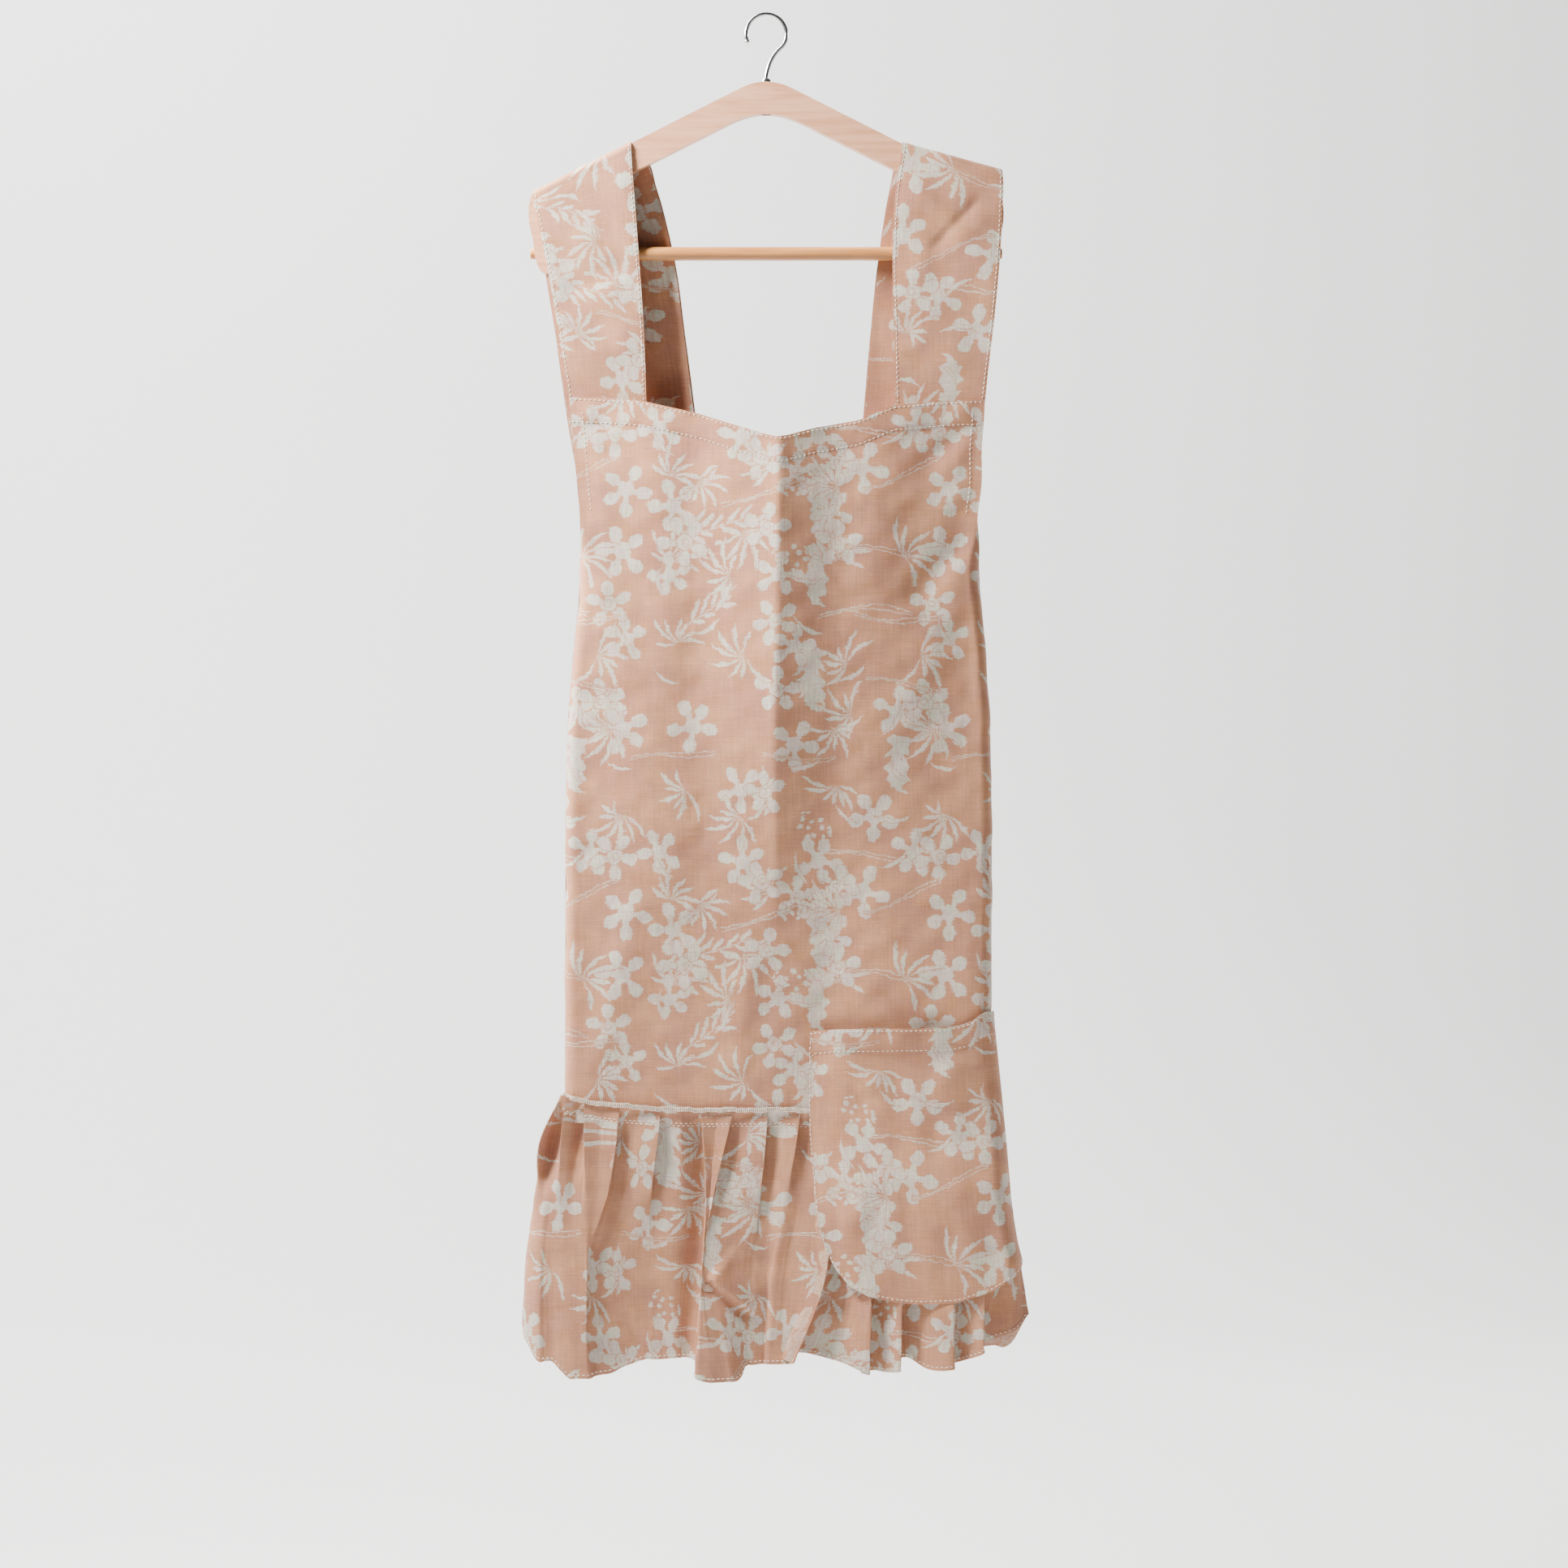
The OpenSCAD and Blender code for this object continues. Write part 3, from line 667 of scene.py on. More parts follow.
def seam_back(x):
    return -1019.0 - 4.0 * smooth((x + 190) / 60) * smooth((214 - x) / 60)


def back_folds(left, right, depth, pleats, hem_left, hem_right, seed):
    """Folds of a back ruffle from x left to x right: knife pleats at the seam, soft waves at the hem."""
    rng = np.random.default_rng(seed)
    rows = []
    for k in range(pleats):
        t = (k + 0.7) / (pleats + 0.4)
        x = mix(left, right, t)
        hem = mix(hem_left, hem_right, t) + rng.uniform(-4, 4)
        half_way = mix(x, hem, 0.55)
        low = -1251 + rng.uniform(-3, 3)
        swing = rng.uniform(6, 10)
        rows += [(x, depth + 1.7, half_way, hem, depth + 5 + swing, low - 2),
                 (x - 13, depth - 0.1, half_way - 3, hem + 8, depth + 5, low),
                 (x + 10, depth + 0.4, half_way + 12, hem + 18, depth + 3 - swing * 0.4, low + 1)]
    return rows


def left_back_folds():
    side = [(-191, 1, -219, -228, 1, -1232), (-190, 8, -216, -223, 9, -1240)]
    free = [(WING_FREE - 6, 11.5, WING_FREE - 2, WING_FREE + 4, 16, -1249),
            (WING_FREE, 11.2, WING_FREE + 5, WING_FREE + 12, 15, -1249)]
    return side + back_folds(-184, WING_FREE - 8, 11.2, 10, -214, WING_FREE - 8, 81) + free


def right_back_folds():
    side = [(206, 16.8, 216, 213, 19, -1248), (213, 9, 228, 228, 13, -1247), (214, 1, 230, 246, 1, -1216)]
    free = [(-WING_FREE, 16.4, -WING_FREE - 5, -WING_FREE - 12, 21, -1250),
            (-WING_FREE + 6, 16.6, -WING_FREE + 1, -WING_FREE - 5, 22, -1250)]
    return free + back_folds(-WING_FREE + 8, 200, 16.4, 10, -WING_FREE, 200, 82) + side


# ------------------------------------------------------------------ pocket
def pocket_right(z):
    return lookup(z, [(-1165, 240), (-1150, 236), (-1120, 230.5), (-1060, 225.5), (-1018, 221.5), (-984, 218),
                      (-950, 214.5), (-930, 213)])


def pocket_bottom(x):
    return lookup(x, [(40, -1044), (42, -1075), (45, -1115), (49, -1138), (57, -1156), (67, -1171),
                      (81, -1186), (100, -1196), (125, -1201.5), (146, -1203.5), (176, -1202),
                      (203, -1192), (222, -1178), (240, -1162)])


def pocket_top(x):
    return lookup(x, [(40, -950.5), (73, -948), (179, -946.6), (195, -944), (207, -940), (214, -935),
                      (222, -932)])


def pocket_left(z):
    return lookup(z, [(-1204, 47), (-1138, 47), (-1115, 45.5), (-1074, 43.5), (-1044, 41), (-940, 40.3)])


POCKET_TUGS = [
    ((60, -958), (105, -1010), 12, 1.6), ((196, -950), (150, -1030), 14, 1.7),
    ((64, -1150), (110, -1080), 13, 1.4), ((205, -1170), (168, -1090), 15, 1.5),
    ((70, -1060), (200, -1050), 18, -1.2)
]


def pocket():
    """The patch: pressed down beside its left edge, bulging in the middle, turned round the skirt's side."""
    v = np.linspace(0, 1, 110)[:, None]
    c = np.linspace(0, 1, 96)[None, :]
    u = mix(c, 1 - np.cos(c * math.pi / 2), 0.35)
    top = pocket_top(mix(44, 240, u))
    z = mix(top, pocket_bottom(mix(44, 236, u ** 0.85) - 2.5 * (1 - u) ** 8), v)
    left, right = pocket_left(z), pocket_right(z)
    turn_r = 17.0
    level = right - left - turn_r
    s = u * (level + turn_r * math.pi / 2)
    past = np.clip((s - level) / turn_r, 0, math.pi / 2)
    x = left + np.minimum(s, level) + turn_r * np.sin(past)
    lead = mix(15.6, 26.0, smooth((-1016 - z) / 120)) + 3.4 * smooth((-1100 - z) / 90)
    bulge = 7.5 * np.sin(np.clip(u, 0, 1) * math.pi) ** 0.8 * (1 - smooth((v - 0.55) / 0.45) * 0.85)
    mouth = 4.0 * np.sin(np.clip(u * 1.02, 0, 1) * math.pi) * smooth((0.12 - v) / 0.12)
    press = 1 - 0.75 * np.exp(-(np.minimum(s, 40) / 7.0) ** 2)
    relief = ripple(x, z, 61, 55, 0.7) + ripple(x, z, 62, 20, 0.2) + ridges(x, z, POCKET_TUGS)
    hem = HEM_SWELL * smooth((POCKET_HEM + 1 - (top - z)) / 3)
    y = -1.2 - (lead + (bulge + mouth) * press + relief * smooth(s / 14) + hem) * np.cos(past)
    return Cloth(np.stack([x, y, z], axis=-1), np.stack([s + 40, z], axis=-1), -1)


def pocket_outline(patch):
    """The path of the stitches that hold the pocket: down its left side and along its round bottom."""
    inset = 2.6
    rows, cols = patch.points.shape[0] - 1, patch.points.shape[1] - 1
    side_rows = np.linspace(1, rows - 7, 400)
    side_cols = np.array([column_inside(patch, int(r), inset) for r in side_rows])
    base_cols = np.linspace(side_cols[-1], cols - 3, 400)
    base_rows = np.array([rows - steps_to(patch.points[::-1, int(c)], inset) for c in base_cols])
    base_rows = np.minimum(base_rows, rows - 1.0)
    base_rows[:12] = np.linspace(side_rows[-1], base_rows[12], 12)
    return patch.at(np.concatenate([side_rows, base_rows]), np.concatenate([side_cols, base_cols]))


def pocket_facing(patch):
    """The pocket's turned top hem, just inside it."""
    middle = patch.points.shape[1] // 2
    part = np.s_[:int(steps_to(patch.points[:, middle], POCKET_HEM)) + 1, 3:patch.points.shape[1] - 12]
    points = patch.points - patch.normal * 0.75
    return Cloth(points[part], patch.flat[part] + np.array(FACING_CUT), -1)


# ------------------------------------------------------------------ materials
def srgb(red, green, blue):
    def channel(value):
        value /= 255
        return value / 12.92 if value <= 0.04045 else ((value + 0.055) / 1.055) ** 2.4
    return channel(red), channel(green), channel(blue), 1.0


def new_material(name):
    """A node material, the writer of its formulas and its Principled shader."""
    material = bpy.data.materials.new(name)
    material.use_nodes = True
    return material, Nodes(material.node_tree), material.node_tree.nodes["Principled BSDF"]


def finish_look(n, shader, height, strength, distance, inputs):
    """Gives a shader its inputs and its bumps: distance is their height in metres."""
    bump = n.add("ShaderNodeBump", {"Height": height, "Strength": strength, "Distance": distance})
    n.fill(shader, {**inputs, "Normal": bump.outputs[0]})


class Nodes:
    """Writes node trees as formulas. A value can be a number, a tuple or another node's output."""

    def __init__(self, tree):
        self.tree = tree

    def put(self, socket, value):
        if isinstance(value, bpy.types.NodeSocket):
            self.tree.links.new(value, socket)
        else:
            socket.default_value = value

    def fill(self, node, inputs):
        for key, value in inputs.items():
            self.put(node.inputs[key], value)

    def add(self, kind, inputs=None, **settings):
        node = self.tree.nodes.new(kind)
        for key, value in settings.items():
            setattr(node, key, value)
        self.fill(node, inputs or {})
        return node

    def math(self, operation, a, b=0.0, c=0.0):
        node = self.add("ShaderNodeMath", operation=operation)
        for socket, value in zip(node.inputs, (a, b, c)):
            self.put(socket, value)
        return node.outputs[0]

    def times(self, a, b):
        return self.math("MULTIPLY", a, b)

    def times_plus(self, a, b, c):
        return self.math("MULTIPLY_ADD", a, b, c)

    def over(self, a, b):
        return self.math("DIVIDE", a, b)

    def plus(self, a, b):
        return self.math("ADD", a, b)

    def minus(self, a, b):
        return self.math("SUBTRACT", a, b)

    def least(self, a, b):
        return self.math("MINIMUM", a, b)

    def most(self, a, b):
        return self.math("MAXIMUM", a, b)

    def size(self, a):
        return self.math("ABSOLUTE", a)

    def sine(self, a):
        return self.math("SINE", a)

    def vec(self, operation, a, b=(0, 0, 0), c=(0, 0, 0)):
        node = self.add("ShaderNodeVectorMath", operation=operation)
        for socket, value in zip(node.inputs, (a, b, c)):
            self.put(socket, value)
        return node.outputs["Value" if operation in ("LENGTH", "DISTANCE", "DOT_PRODUCT") else "Vector"]

    def turn(self, vector, angle):
        node = self.add("ShaderNodeVectorRotate", {"Vector": vector, "Angle": angle}, rotation_type="Z_AXIS")
        return node.outputs[0]

    def split(self, vector):
        return self.add("ShaderNodeSeparateXYZ", {0: vector}).outputs[:2]

    def join(self, x, y, z=0.0):
        return self.add("ShaderNodeCombineXYZ", {0: x, 1: y, 2: z}).outputs[0]

    def noise(self, vector, scale, detail, rough=0.5, output="Fac"):
        node = self.add("ShaderNodeTexNoise", {"Vector": vector, "Scale": scale, "Detail": detail,
                                               "Roughness": rough})
        return node.outputs[output]

    def step(self, value, low, high, out_low=0.0, out_high=1.0):
        return self.add("ShaderNodeMapRange", {"Value": value, "From Min": low, "From Max": high,
                                               "To Min": out_low, "To Max": out_high},
                        interpolation_type="SMOOTHSTEP").outputs[0]

    def blend(self, factor, a, b, mode="MIX"):
        """Mixes two colours; a Mix node's colour sockets are inputs 6 and 7 and output 2."""
        node = self.add("ShaderNodeMix", data_type="RGBA", blend_type=mode)
        for index, value in ((0, factor), (6, a), (7, b)):
            self.put(node.inputs[index], value)
        return node.outputs[2]


def new_group(name, inputs):
    """A node group with the given (name, socket type) inputs and one value out."""
    tree = bpy.data.node_groups.new(name, "ShaderNodeTree")
    for label, kind in inputs:
        tree.interface.new_socket(label, in_out="INPUT", socket_type=kind)
    tree.interface.new_socket("Inside", in_out="OUTPUT", socket_type="NodeSocketFloat")
    n = Nodes(tree)
    source = n.add("NodeGroupInput").outputs
    sink = n.add("NodeGroupOutput").inputs
    return tree, n, source, sink


MOTIF_INPUTS = [("Place", "NodeSocketVector"), ("Seed", "NodeSocketFloat")]


def luck_of(n, *terms):
    """A random number from 0 to 1 that depends on the sum of the terms."""
    total = terms[0]
    for term in terms[1:]:
        total = n.plus(total, term)
    return n.add("ShaderNodeTexWhiteNoise", {"W": total}, noise_dimensions="1D").outputs["Value"]


# Each motif group says how far inside the motif a place is. Place is in the motif's own coordinates, in which
# the motif is about 1 in radius, and the answer is in the same units.
def bloom_group(name, drawn_heart):
    """A flat five-petalled bloom: round spoon petals on short necks round a squarish heart."""
    tree, n, source, sink = new_group(name, MOTIF_INPUTS)
    x, y = n.split(source["Place"])
    radius = n.vec("LENGTH", n.join(x, y))
    angle = n.math("ARCTAN2", y, x)
    slice_angle = 2 * math.pi / 5
    index = n.math("ROUND", n.over(angle, slice_angle))
    luck = luck_of(n, source["Seed"], index)
    lean = n.minus(angle, n.times(index, slice_angle))
    lean = n.plus(lean, n.times_plus(luck, 0.34, -0.17))
    reach = n.times_plus(luck, 0.15, 0.59)
    along = n.times(radius, n.math("COSINE", lean))
    across = n.size(n.times(radius, n.sine(lean)))
    ball_x = n.times(n.minus(along, reach), 0.8)
    ball = n.minus(0.235, n.vec("LENGTH", n.join(ball_x, across)))
    neck = n.least(n.minus(0.11, across), n.minus(reach, along))
    square = n.most(n.size(x), n.size(y))
    heart = n.minus(0.28, n.times_plus(square, 0.5, n.times(radius, 0.5)))
    inside = n.most(n.most(ball, neck), heart)
    if drawn_heart:
        wave = n.times(n.sine(n.times_plus(angle, 3.0, source["Seed"])), 0.03)
        ring = n.minus(n.size(n.plus(n.minus(radius, 0.3), wave)), 0.014)
        curl = n.minus(n.vec("LENGTH", n.join(n.minus(x, 0.07), y)), 0.13)
        curl = n.minus(n.size(curl), 0.012)
        inside = n.least(inside, n.least(ring, curl))
    n.put(sink["Inside"], inside)
    return tree


def spray_group(name, trunk):
    """A bent stem with slender leaves on both sides. trunk is the half-width of the foliage along it."""
    tree, n, source, sink = new_group(name, MOTIF_INPUTS)
    x, y = n.split(source["Place"])
    x = n.times_plus(x, 0.5, 0.5)
    y = n.times(y, 0.5)
    y = n.minus(y, n.times(n.times(x, x), 0.2))
    side = n.math("SIGN", y)
    lift = n.size(y)
    lean, gap = math.radians(37), 0.2
    sweep = n.times(n.times(lift, lift), 0.7)
    root = n.minus(n.plus(x, sweep), n.times(lift, 1 / math.tan(lean)))
    root = n.plus(root, n.times(side, gap * 0.22))
    cell = n.math("FLOOR", n.over(root, gap))
    luck = luck_of(n, n.times(cell, 3.1), n.times(side, 7.7), source["Seed"])
    middle = n.times(n.plus(cell, n.times_plus(luck, 0.3, 0.35)), gap)
    taper = n.times_plus(middle, -0.24, 0.46)
    length = n.times(taper, n.times_plus(luck, 0.9, 0.45))
    far = n.over(lift, n.times(length, math.sin(lean)))
    swell = n.times(n.sine(n.times(n.least(far, 1.0), math.pi)), 0.038)
    thin = n.size(n.times(n.minus(root, middle), math.sin(lean)))
    leaf = n.least(n.minus(swell, thin), n.times(n.minus(1.0, far), 0.1))
    leaf = n.least(leaf, n.least(n.minus(middle, 0.02), n.minus(0.9, middle)))
    ripple_one = n.sine(n.times_plus(x, 11.0, source["Seed"]))
    ripple_two = n.sine(n.times_plus(x, 25.0, n.times(side, 1.3)))
    uneven = n.times_plus(ripple_one, 0.35, n.times_plus(ripple_two, 0.3, 0.9))
    width = n.times_plus(uneven, trunk, 0.009)
    reach = n.least(x, n.minus(1.0, x))
    stem = n.least(n.minus(width, lift), reach)
    n.put(sink["Inside"], n.times(n.most(leaf, stem), 2.0))
    return tree


def fan_group():
    """Slender curved leaves of uneven length that fan out from one point, each free of the next."""
    tree, n, source, sink = new_group("fan", MOTIF_INPUTS)
    x, y = n.split(source["Place"])
    x = n.plus(x, 0.4)
    radius = n.vec("LENGTH", n.join(x, y))
    angle = n.math("ARCTAN2", y, x)
    bent = n.plus(angle, n.times(radius, 0.5))
    slice_angle = 0.52
    index = n.math("ROUND", n.over(bent, slice_angle))
    luck = luck_of(n, source["Seed"], index)
    other = luck_of(n, source["Seed"], n.times(index, 2.3), 40.0)
    lean = n.minus(bent, n.times(index, slice_angle))
    lean = n.plus(lean, n.times_plus(other, 0.24, -0.12))
    length = n.times_plus(luck, 0.5, 0.5)
    far = n.over(radius, length)
    swell = n.sine(n.times(n.math("POWER", n.least(far, 1.0), 1.5), math.pi))
    across = n.size(n.times(radius, n.sine(lean)))
    leaf = n.minus(n.times_plus(swell, 0.054, 0.004), across)
    leaf = n.least(leaf, n.minus(length, radius))
    leaf = n.least(leaf, n.minus(1.75, n.size(bent)))
    n.put(sink["Inside"], leaf)
    return tree


def leaf_group():
    """One long slender leaf with a slight bend."""
    tree, n, source, sink = new_group("leaf", MOTIF_INPUTS)
    x, y = n.split(source["Place"])
    level = n.size(n.minus(y, n.times(n.times(x, x), 0.3)))
    place = n.times_plus(x, 0.5, 0.5)
    belly = n.sine(n.times(n.math("POWER", n.most(place, 0.0), 1.3), math.pi))
    leaf = n.minus(n.times(belly, 0.12), level)
    leaf = n.least(leaf, n.minus(1.0, n.size(x)))
    n.put(sink["Inside"], leaf)
    return tree


def stem_group():
    """Two fine lines that run side by side in a shallow curve."""
    tree, n, source, sink = new_group("stem", MOTIF_INPUTS)
    x, y = n.split(source["Place"])
    bow = n.times(n.sine(n.times_plus(x, 1.6, source["Seed"])), 0.18)
    level = n.minus(y, bow)
    apart = n.times_plus(n.sine(n.times(x, 3.5)), 0.016, 0.036)
    line = n.minus(0.011, n.size(n.minus(n.size(level), apart)))
    n.put(sink["Inside"], n.least(line, n.minus(1.0, n.size(x))))
    return tree


def berries_group():
    """A loose cluster of tiny blossoms."""
    tree, n, source, sink = new_group("berries", MOTIF_INPUTS)
    cells = n.add("ShaderNodeTexVoronoi", {"Vector": source["Place"], "Scale": 2.6, "Randomness": 0.85},
                  voronoi_dimensions="2D")
    dot = n.minus(0.11, n.over(cells.outputs["Distance"], 2.6))
    x, y = n.split(source["Place"])
    edge = n.minus(0.9, n.vec("LENGTH", n.join(x, n.times(y, 1.5))))
    n.put(sink["Inside"], n.least(dot, edge))
    return tree


def garland(n, place):
    """1 along two winding garlands in each repeat of the print, 0 on the open ground between them."""
    x, y = n.split(n.vec("MULTIPLY", place, (2 * math.pi / TILE[0], 2 * math.pi / TILE[1], 0)))
    wind = n.times(n.sine(y), 1.1)
    return n.step(n.sine(n.times_plus(x, 2.0, wind)), -0.35, 0.45)


def strew(n, place, tree, cells, shift, size, turn, swing, amount):
    """Lays one motif in each of the cells of the repeat, at a random place, turn and size.

    amount gives how often a cell has its motif, on open ground and in the garlands. Returns how far inside
    a motif the place is, in mm.
    """
    cell = (TILE[0] / cells[0], TILE[1] / cells[1], 1)
    grid = n.vec("DIVIDE", n.vec("ADD", place, (*shift, 0)), cell)
    index = n.vec("FLOOR", grid)
    centre = n.vec("SUBTRACT", n.vec("MULTIPLY", n.vec("ADD", index, (0.5, 0.5, 0)), cell), (*shift, 0))
    repeated = n.vec("WRAP", index, (*cells, 1), (0, 0, 0))
    own = n.vec("ADD", repeated, (0, 0, shift[0] + 0.5 * size))
    dice = n.add("ShaderNodeTexWhiteNoise", {"Vector": own}, noise_dimensions="3D").outputs["Color"]
    luck, aside, above = n.add("ShaderNodeSeparateXYZ", {0: dice}).outputs
    room = (max(0, cell[0] - 2 * size), max(0, cell[1] - 2 * size), 0)
    moved = n.vec("MULTIPLY", n.vec("SUBTRACT", n.join(aside, above), (0.5, 0.5, 0)), room)
    local = n.vec("SUBTRACT", n.vec("SUBTRACT", place, centre), moved)
    other = n.math("FRACT", n.times(luck, 37.0))
    turned = n.turn(local, n.times_plus(other, math.radians(2 * swing), math.radians(turn - swing)))
    scale = n.times_plus(n.math("FRACT", n.times(luck, 91.0)), 0.22 * size, 0.84 * size)
    shape = n.add("ShaderNodeGroup", node_tree=tree)
    unit = n.add("ShaderNodeVectorMath", {0: turned}, operation="SCALE")
    n.put(unit.inputs["Scale"], n.over(1.0, scale))
    n.put(shape.inputs["Place"], unit.outputs[0])
    n.put(shape.inputs["Seed"], n.times(other, 50.0))
    chance = n.times_plus(garland(n, centre), amount[1] - amount[0], amount[0])
    absent = n.times(n.math("GREATER_THAN", luck, chance), 99.0)
    return n.minus(n.times(shape.outputs[0], scale), absent)


def print_group():
    """The whole print: how far inside a motif a place on the flat cloth is, in mm."""
    bloom, drawn_bloom = bloom_group("bloom", False), bloom_group("drawn_bloom", True)
    spray, trunk = spray_group("spray", 0.0), spray_group("trunk", 0.17)
    fan, leaf, stem, berries = fan_group(), leaf_group(), stem_group(), berries_group()
    # Motif, cells in the repeat, shift, size, turn, swing, (how often on open ground, how often in garlands).
    layers = [
        (trunk, (4, 5), (52, 20), 29, 95, 14, (0.04, 0.6)),
        (bloom, (4, 5), (0, 0), 26, 0, 180, (0.40, 0.85)),
        (fan, (4, 5), (28, 62), 38, 0, 180, (0.45, 0.7)),
        (spray, (4, 5), (66, 45), 34, 60, 90, (0.12, 0.22)),
        (stem, (3, 7), (33, 26), 44, 3, 8, (0.3, 0.3)),
        (bloom, (4, 6), (39, 34), 24, 0, 180, (0.12, 0.7)),
        (drawn_bloom, (4, 5), (17, 51), 25, 0, 180, (0.2, 0.75)),
        (leaf, (7, 9), (12, 70), 17, 20, 75, (0.22, 0.42)),
        (fan, (3, 5), (74, 11), 40, 90, 120, (0.40, 0.55)),
        (stem, (3, 6), (108, 2), 40, -4, 12, (0.22, 0.22)),
        (berries, (4, 5), (60, 77), 22, 0, 180, (0.15, 0.5)),
    ]
    tree, n, source, sink = new_group("floral_print", [("Place", "NodeSocketVector")])
    inside = -99.0
    for layer in layers:
        over = strew(n, source["Place"], *layer)
        outline = n.minus(n.size(over), 0.45)
        inside = n.most(n.least(inside, outline), over)
    n.put(sink["Inside"], inside)
    return tree


def linen_weave(n, flat):
    """Height of the weave, and how thick the threads run there: singly, and in broad bands."""
    x, y = n.split(flat)

    def streaks(along_x, along_y):
        return n.noise(n.join(n.times(x, along_x), n.times(y, along_y)), 1.0, 3)

    slubs = n.times(n.plus(streaks(2.4, 0.05), streaks(0.05, 2.4)), 0.5)
    bands = n.times(n.plus(streaks(0.55, 0.018), streaks(0.03, 0.8)), 0.5)
    pitch = 2 * math.pi / THREAD_PITCH
    checks = n.times(n.sine(n.times(x, pitch)), n.sine(n.times(y, pitch)))
    return n.times_plus(slubs, 0.8, n.times_plus(checks, 0.25, 0.5)), slubs, bands


def wander(n, place, scale, reach):
    """A random shift of a place, by about reach mm at most."""
    colour = n.noise(place, scale, 2, output="Color")
    return n.vec("MULTIPLY", n.vec("SUBTRACT", colour, (0.5, 0.5, 0.5)), (reach, reach, 0))


def linen(name, print_tree, shift, wrong_side=False, painted_shade=1.0):
    """Printed linen. shift moves the print, in mm, and the wrong side shows it faintly. The last argument
    darkens the whole colour evenly, as painted shade.
    """
    material, n, shader = new_material(name)
    uv = n.add("ShaderNodeUVMap", uv_map="flat").outputs[0]
    flat = n.vec("MULTIPLY", uv, (1000, 1000, 0))
    placed = n.vec("ADD", flat, (*shift, 0))
    hand_drawn, rough_edge = wander(n, placed, 0.16, 5.5), wander(n, placed, 0.9, 1.5)
    comb = n.noise(n.vec("MULTIPLY", placed, (0.12, 1.5, 0)), 1.0, 1)
    comb = n.join(n.times_plus(comb, 5.0, -2.5), 0.0)
    drawn = n.vec("ADD", n.vec("ADD", placed, hand_drawn), n.vec("ADD", rough_edge, comb))
    group = n.add("ShaderNodeGroup", node_tree=print_tree)
    n.put(group.inputs["Place"], drawn)
    weave, slubs, bands = linen_weave(n, placed)
    inside = n.times_plus(n.minus(slubs, 0.5), 1.6, group.outputs[0])
    ink = n.step(inside, -0.28, 0.42)
    worn = n.noise(n.vec("MULTIPLY", placed, (1.1, 0.16, 1)), 0.55, 4, 0.65)
    ink = n.times(ink, n.step(worn, 0.34, 0.58, 0.58, 1.0))
    pools = n.noise(placed, 0.021, 2)
    stain = n.noise(placed, 0.055, 3)
    ground = n.blend(n.step(pools, 0.36, 0.64), srgb(203, 147, 113), srgb(190, 134, 109))
    ground = n.blend(n.step(stain, 0.42, 0.7, 0.0, 0.55), ground, srgb(194, 134, 94))
    pale = n.blend(n.step(stain, 0.35, 0.62), srgb(213, 213, 193), srgb(215, 203, 193))
    colour = n.blend(n.times(ink, 0.42 if wrong_side else 0.96), ground, pale)
    streak = n.times(n.step(slubs, 0.32, 0.68, 0.86, 1.09), n.step(bands, 0.38, 0.62, 0.92, 1.07))
    grain = n.noise(placed, 1.7, 3, 0.7)
    grain = n.step(grain, 0.25, 0.75, 0.92, 1.06)
    fleck = n.noise(n.vec("MULTIPLY", placed, (0.14, 0.9, 1)), 0.9, 1)
    fleck = n.step(fleck, 0.64, 0.72, 1.0, 1.2)
    # Painted shade: the last factor darkens the whole colour evenly; the other factors are the weave's own
    # streaks, grain and flecks.
    tone = n.times(n.times(n.times(streak, grain), fleck), painted_shade)
    colour = n.blend(1.0, colour, n.join(tone, tone, tone), "MULTIPLY")
    finish_look(n, shader, weave, 0.35, 0.00022, {
        "Base Color": colour, "Roughness": 0.86, "Sheen Weight": 0.12, "Sheen Roughness": 0.5,
        "Specular IOR Level": 0.25})
    return material


def thread(name, colour):
    material, n, shader = new_material(name)
    where = n.add("ShaderNodeTexCoord").outputs["Object"]
    mottle = n.noise(where, 260.0, 2)
    tone = n.blend(n.step(mottle, 0.3, 0.7), srgb(*colour), srgb(*(c * 0.86 for c in colour)))
    twist = n.noise(where, 2600.0, 1)
    finish_look(n, shader, twist, 0.4, 0.0002, {"Base Color": tone, "Roughness": 0.6, "Sheen Weight": 0.2})
    return material


def wood(name, light, dark):
    """Planed hardwood: long grain streaks, fine pores and a soft clear finish."""
    material, n, shader = new_material(name)
    where = n.add("ShaderNodeTexCoord").outputs["Object"]
    figure = n.noise(n.vec("MULTIPLY", where, (9, 160, 160)), 1.0, 4, 0.55)
    rings = n.noise(n.vec("MULTIPLY", where, (3, 70, 70)), 1.0, 2)
    pores = n.noise(n.vec("MULTIPLY", where, (60, 1500, 1500)), 1.0, 2)
    colour = n.blend(n.step(figure, 0.32, 0.68), srgb(*light), srgb(*dark))
    colour = n.blend(n.step(rings, 0.45, 0.75, 0.0, 0.28), colour, srgb(*dark))
    colour = n.blend(n.step(pores, 0.60, 0.72, 0.0, 0.35), colour, srgb(*(c * 0.72 for c in dark)))
    finish_look(n, shader, pores, 0.25, 0.0003, {
        "Base Color": colour, "Roughness": n.step(pores, 0.4, 0.7, 0.38, 0.55), "Coat Weight": 0.25,
        "Coat Roughness": 0.3})
    return material


def steel(name, roughness, shine):
    """Drawn or stamped steel with fine scratches and faint smudges."""
    material, n, shader = new_material(name)
    where = n.add("ShaderNodeTexCoord").outputs["Object"]
    scratch = n.noise(n.vec("MULTIPLY", where, (2600, 2600, 180)), 1.0, 3)
    smudge = n.noise(where, 90.0, 3)
    grey = n.step(smudge, 0.3, 0.7, shine * 0.9, shine)
    finish_look(n, shader, scratch, 0.15, 0.0001, {
        "Metallic": 1.0, "Base Color": n.join(grey, grey, n.times(grey, 1.01)),
        "Roughness": n.step(scratch, 0.3, 0.7, roughness, roughness + 0.14)})
    return material


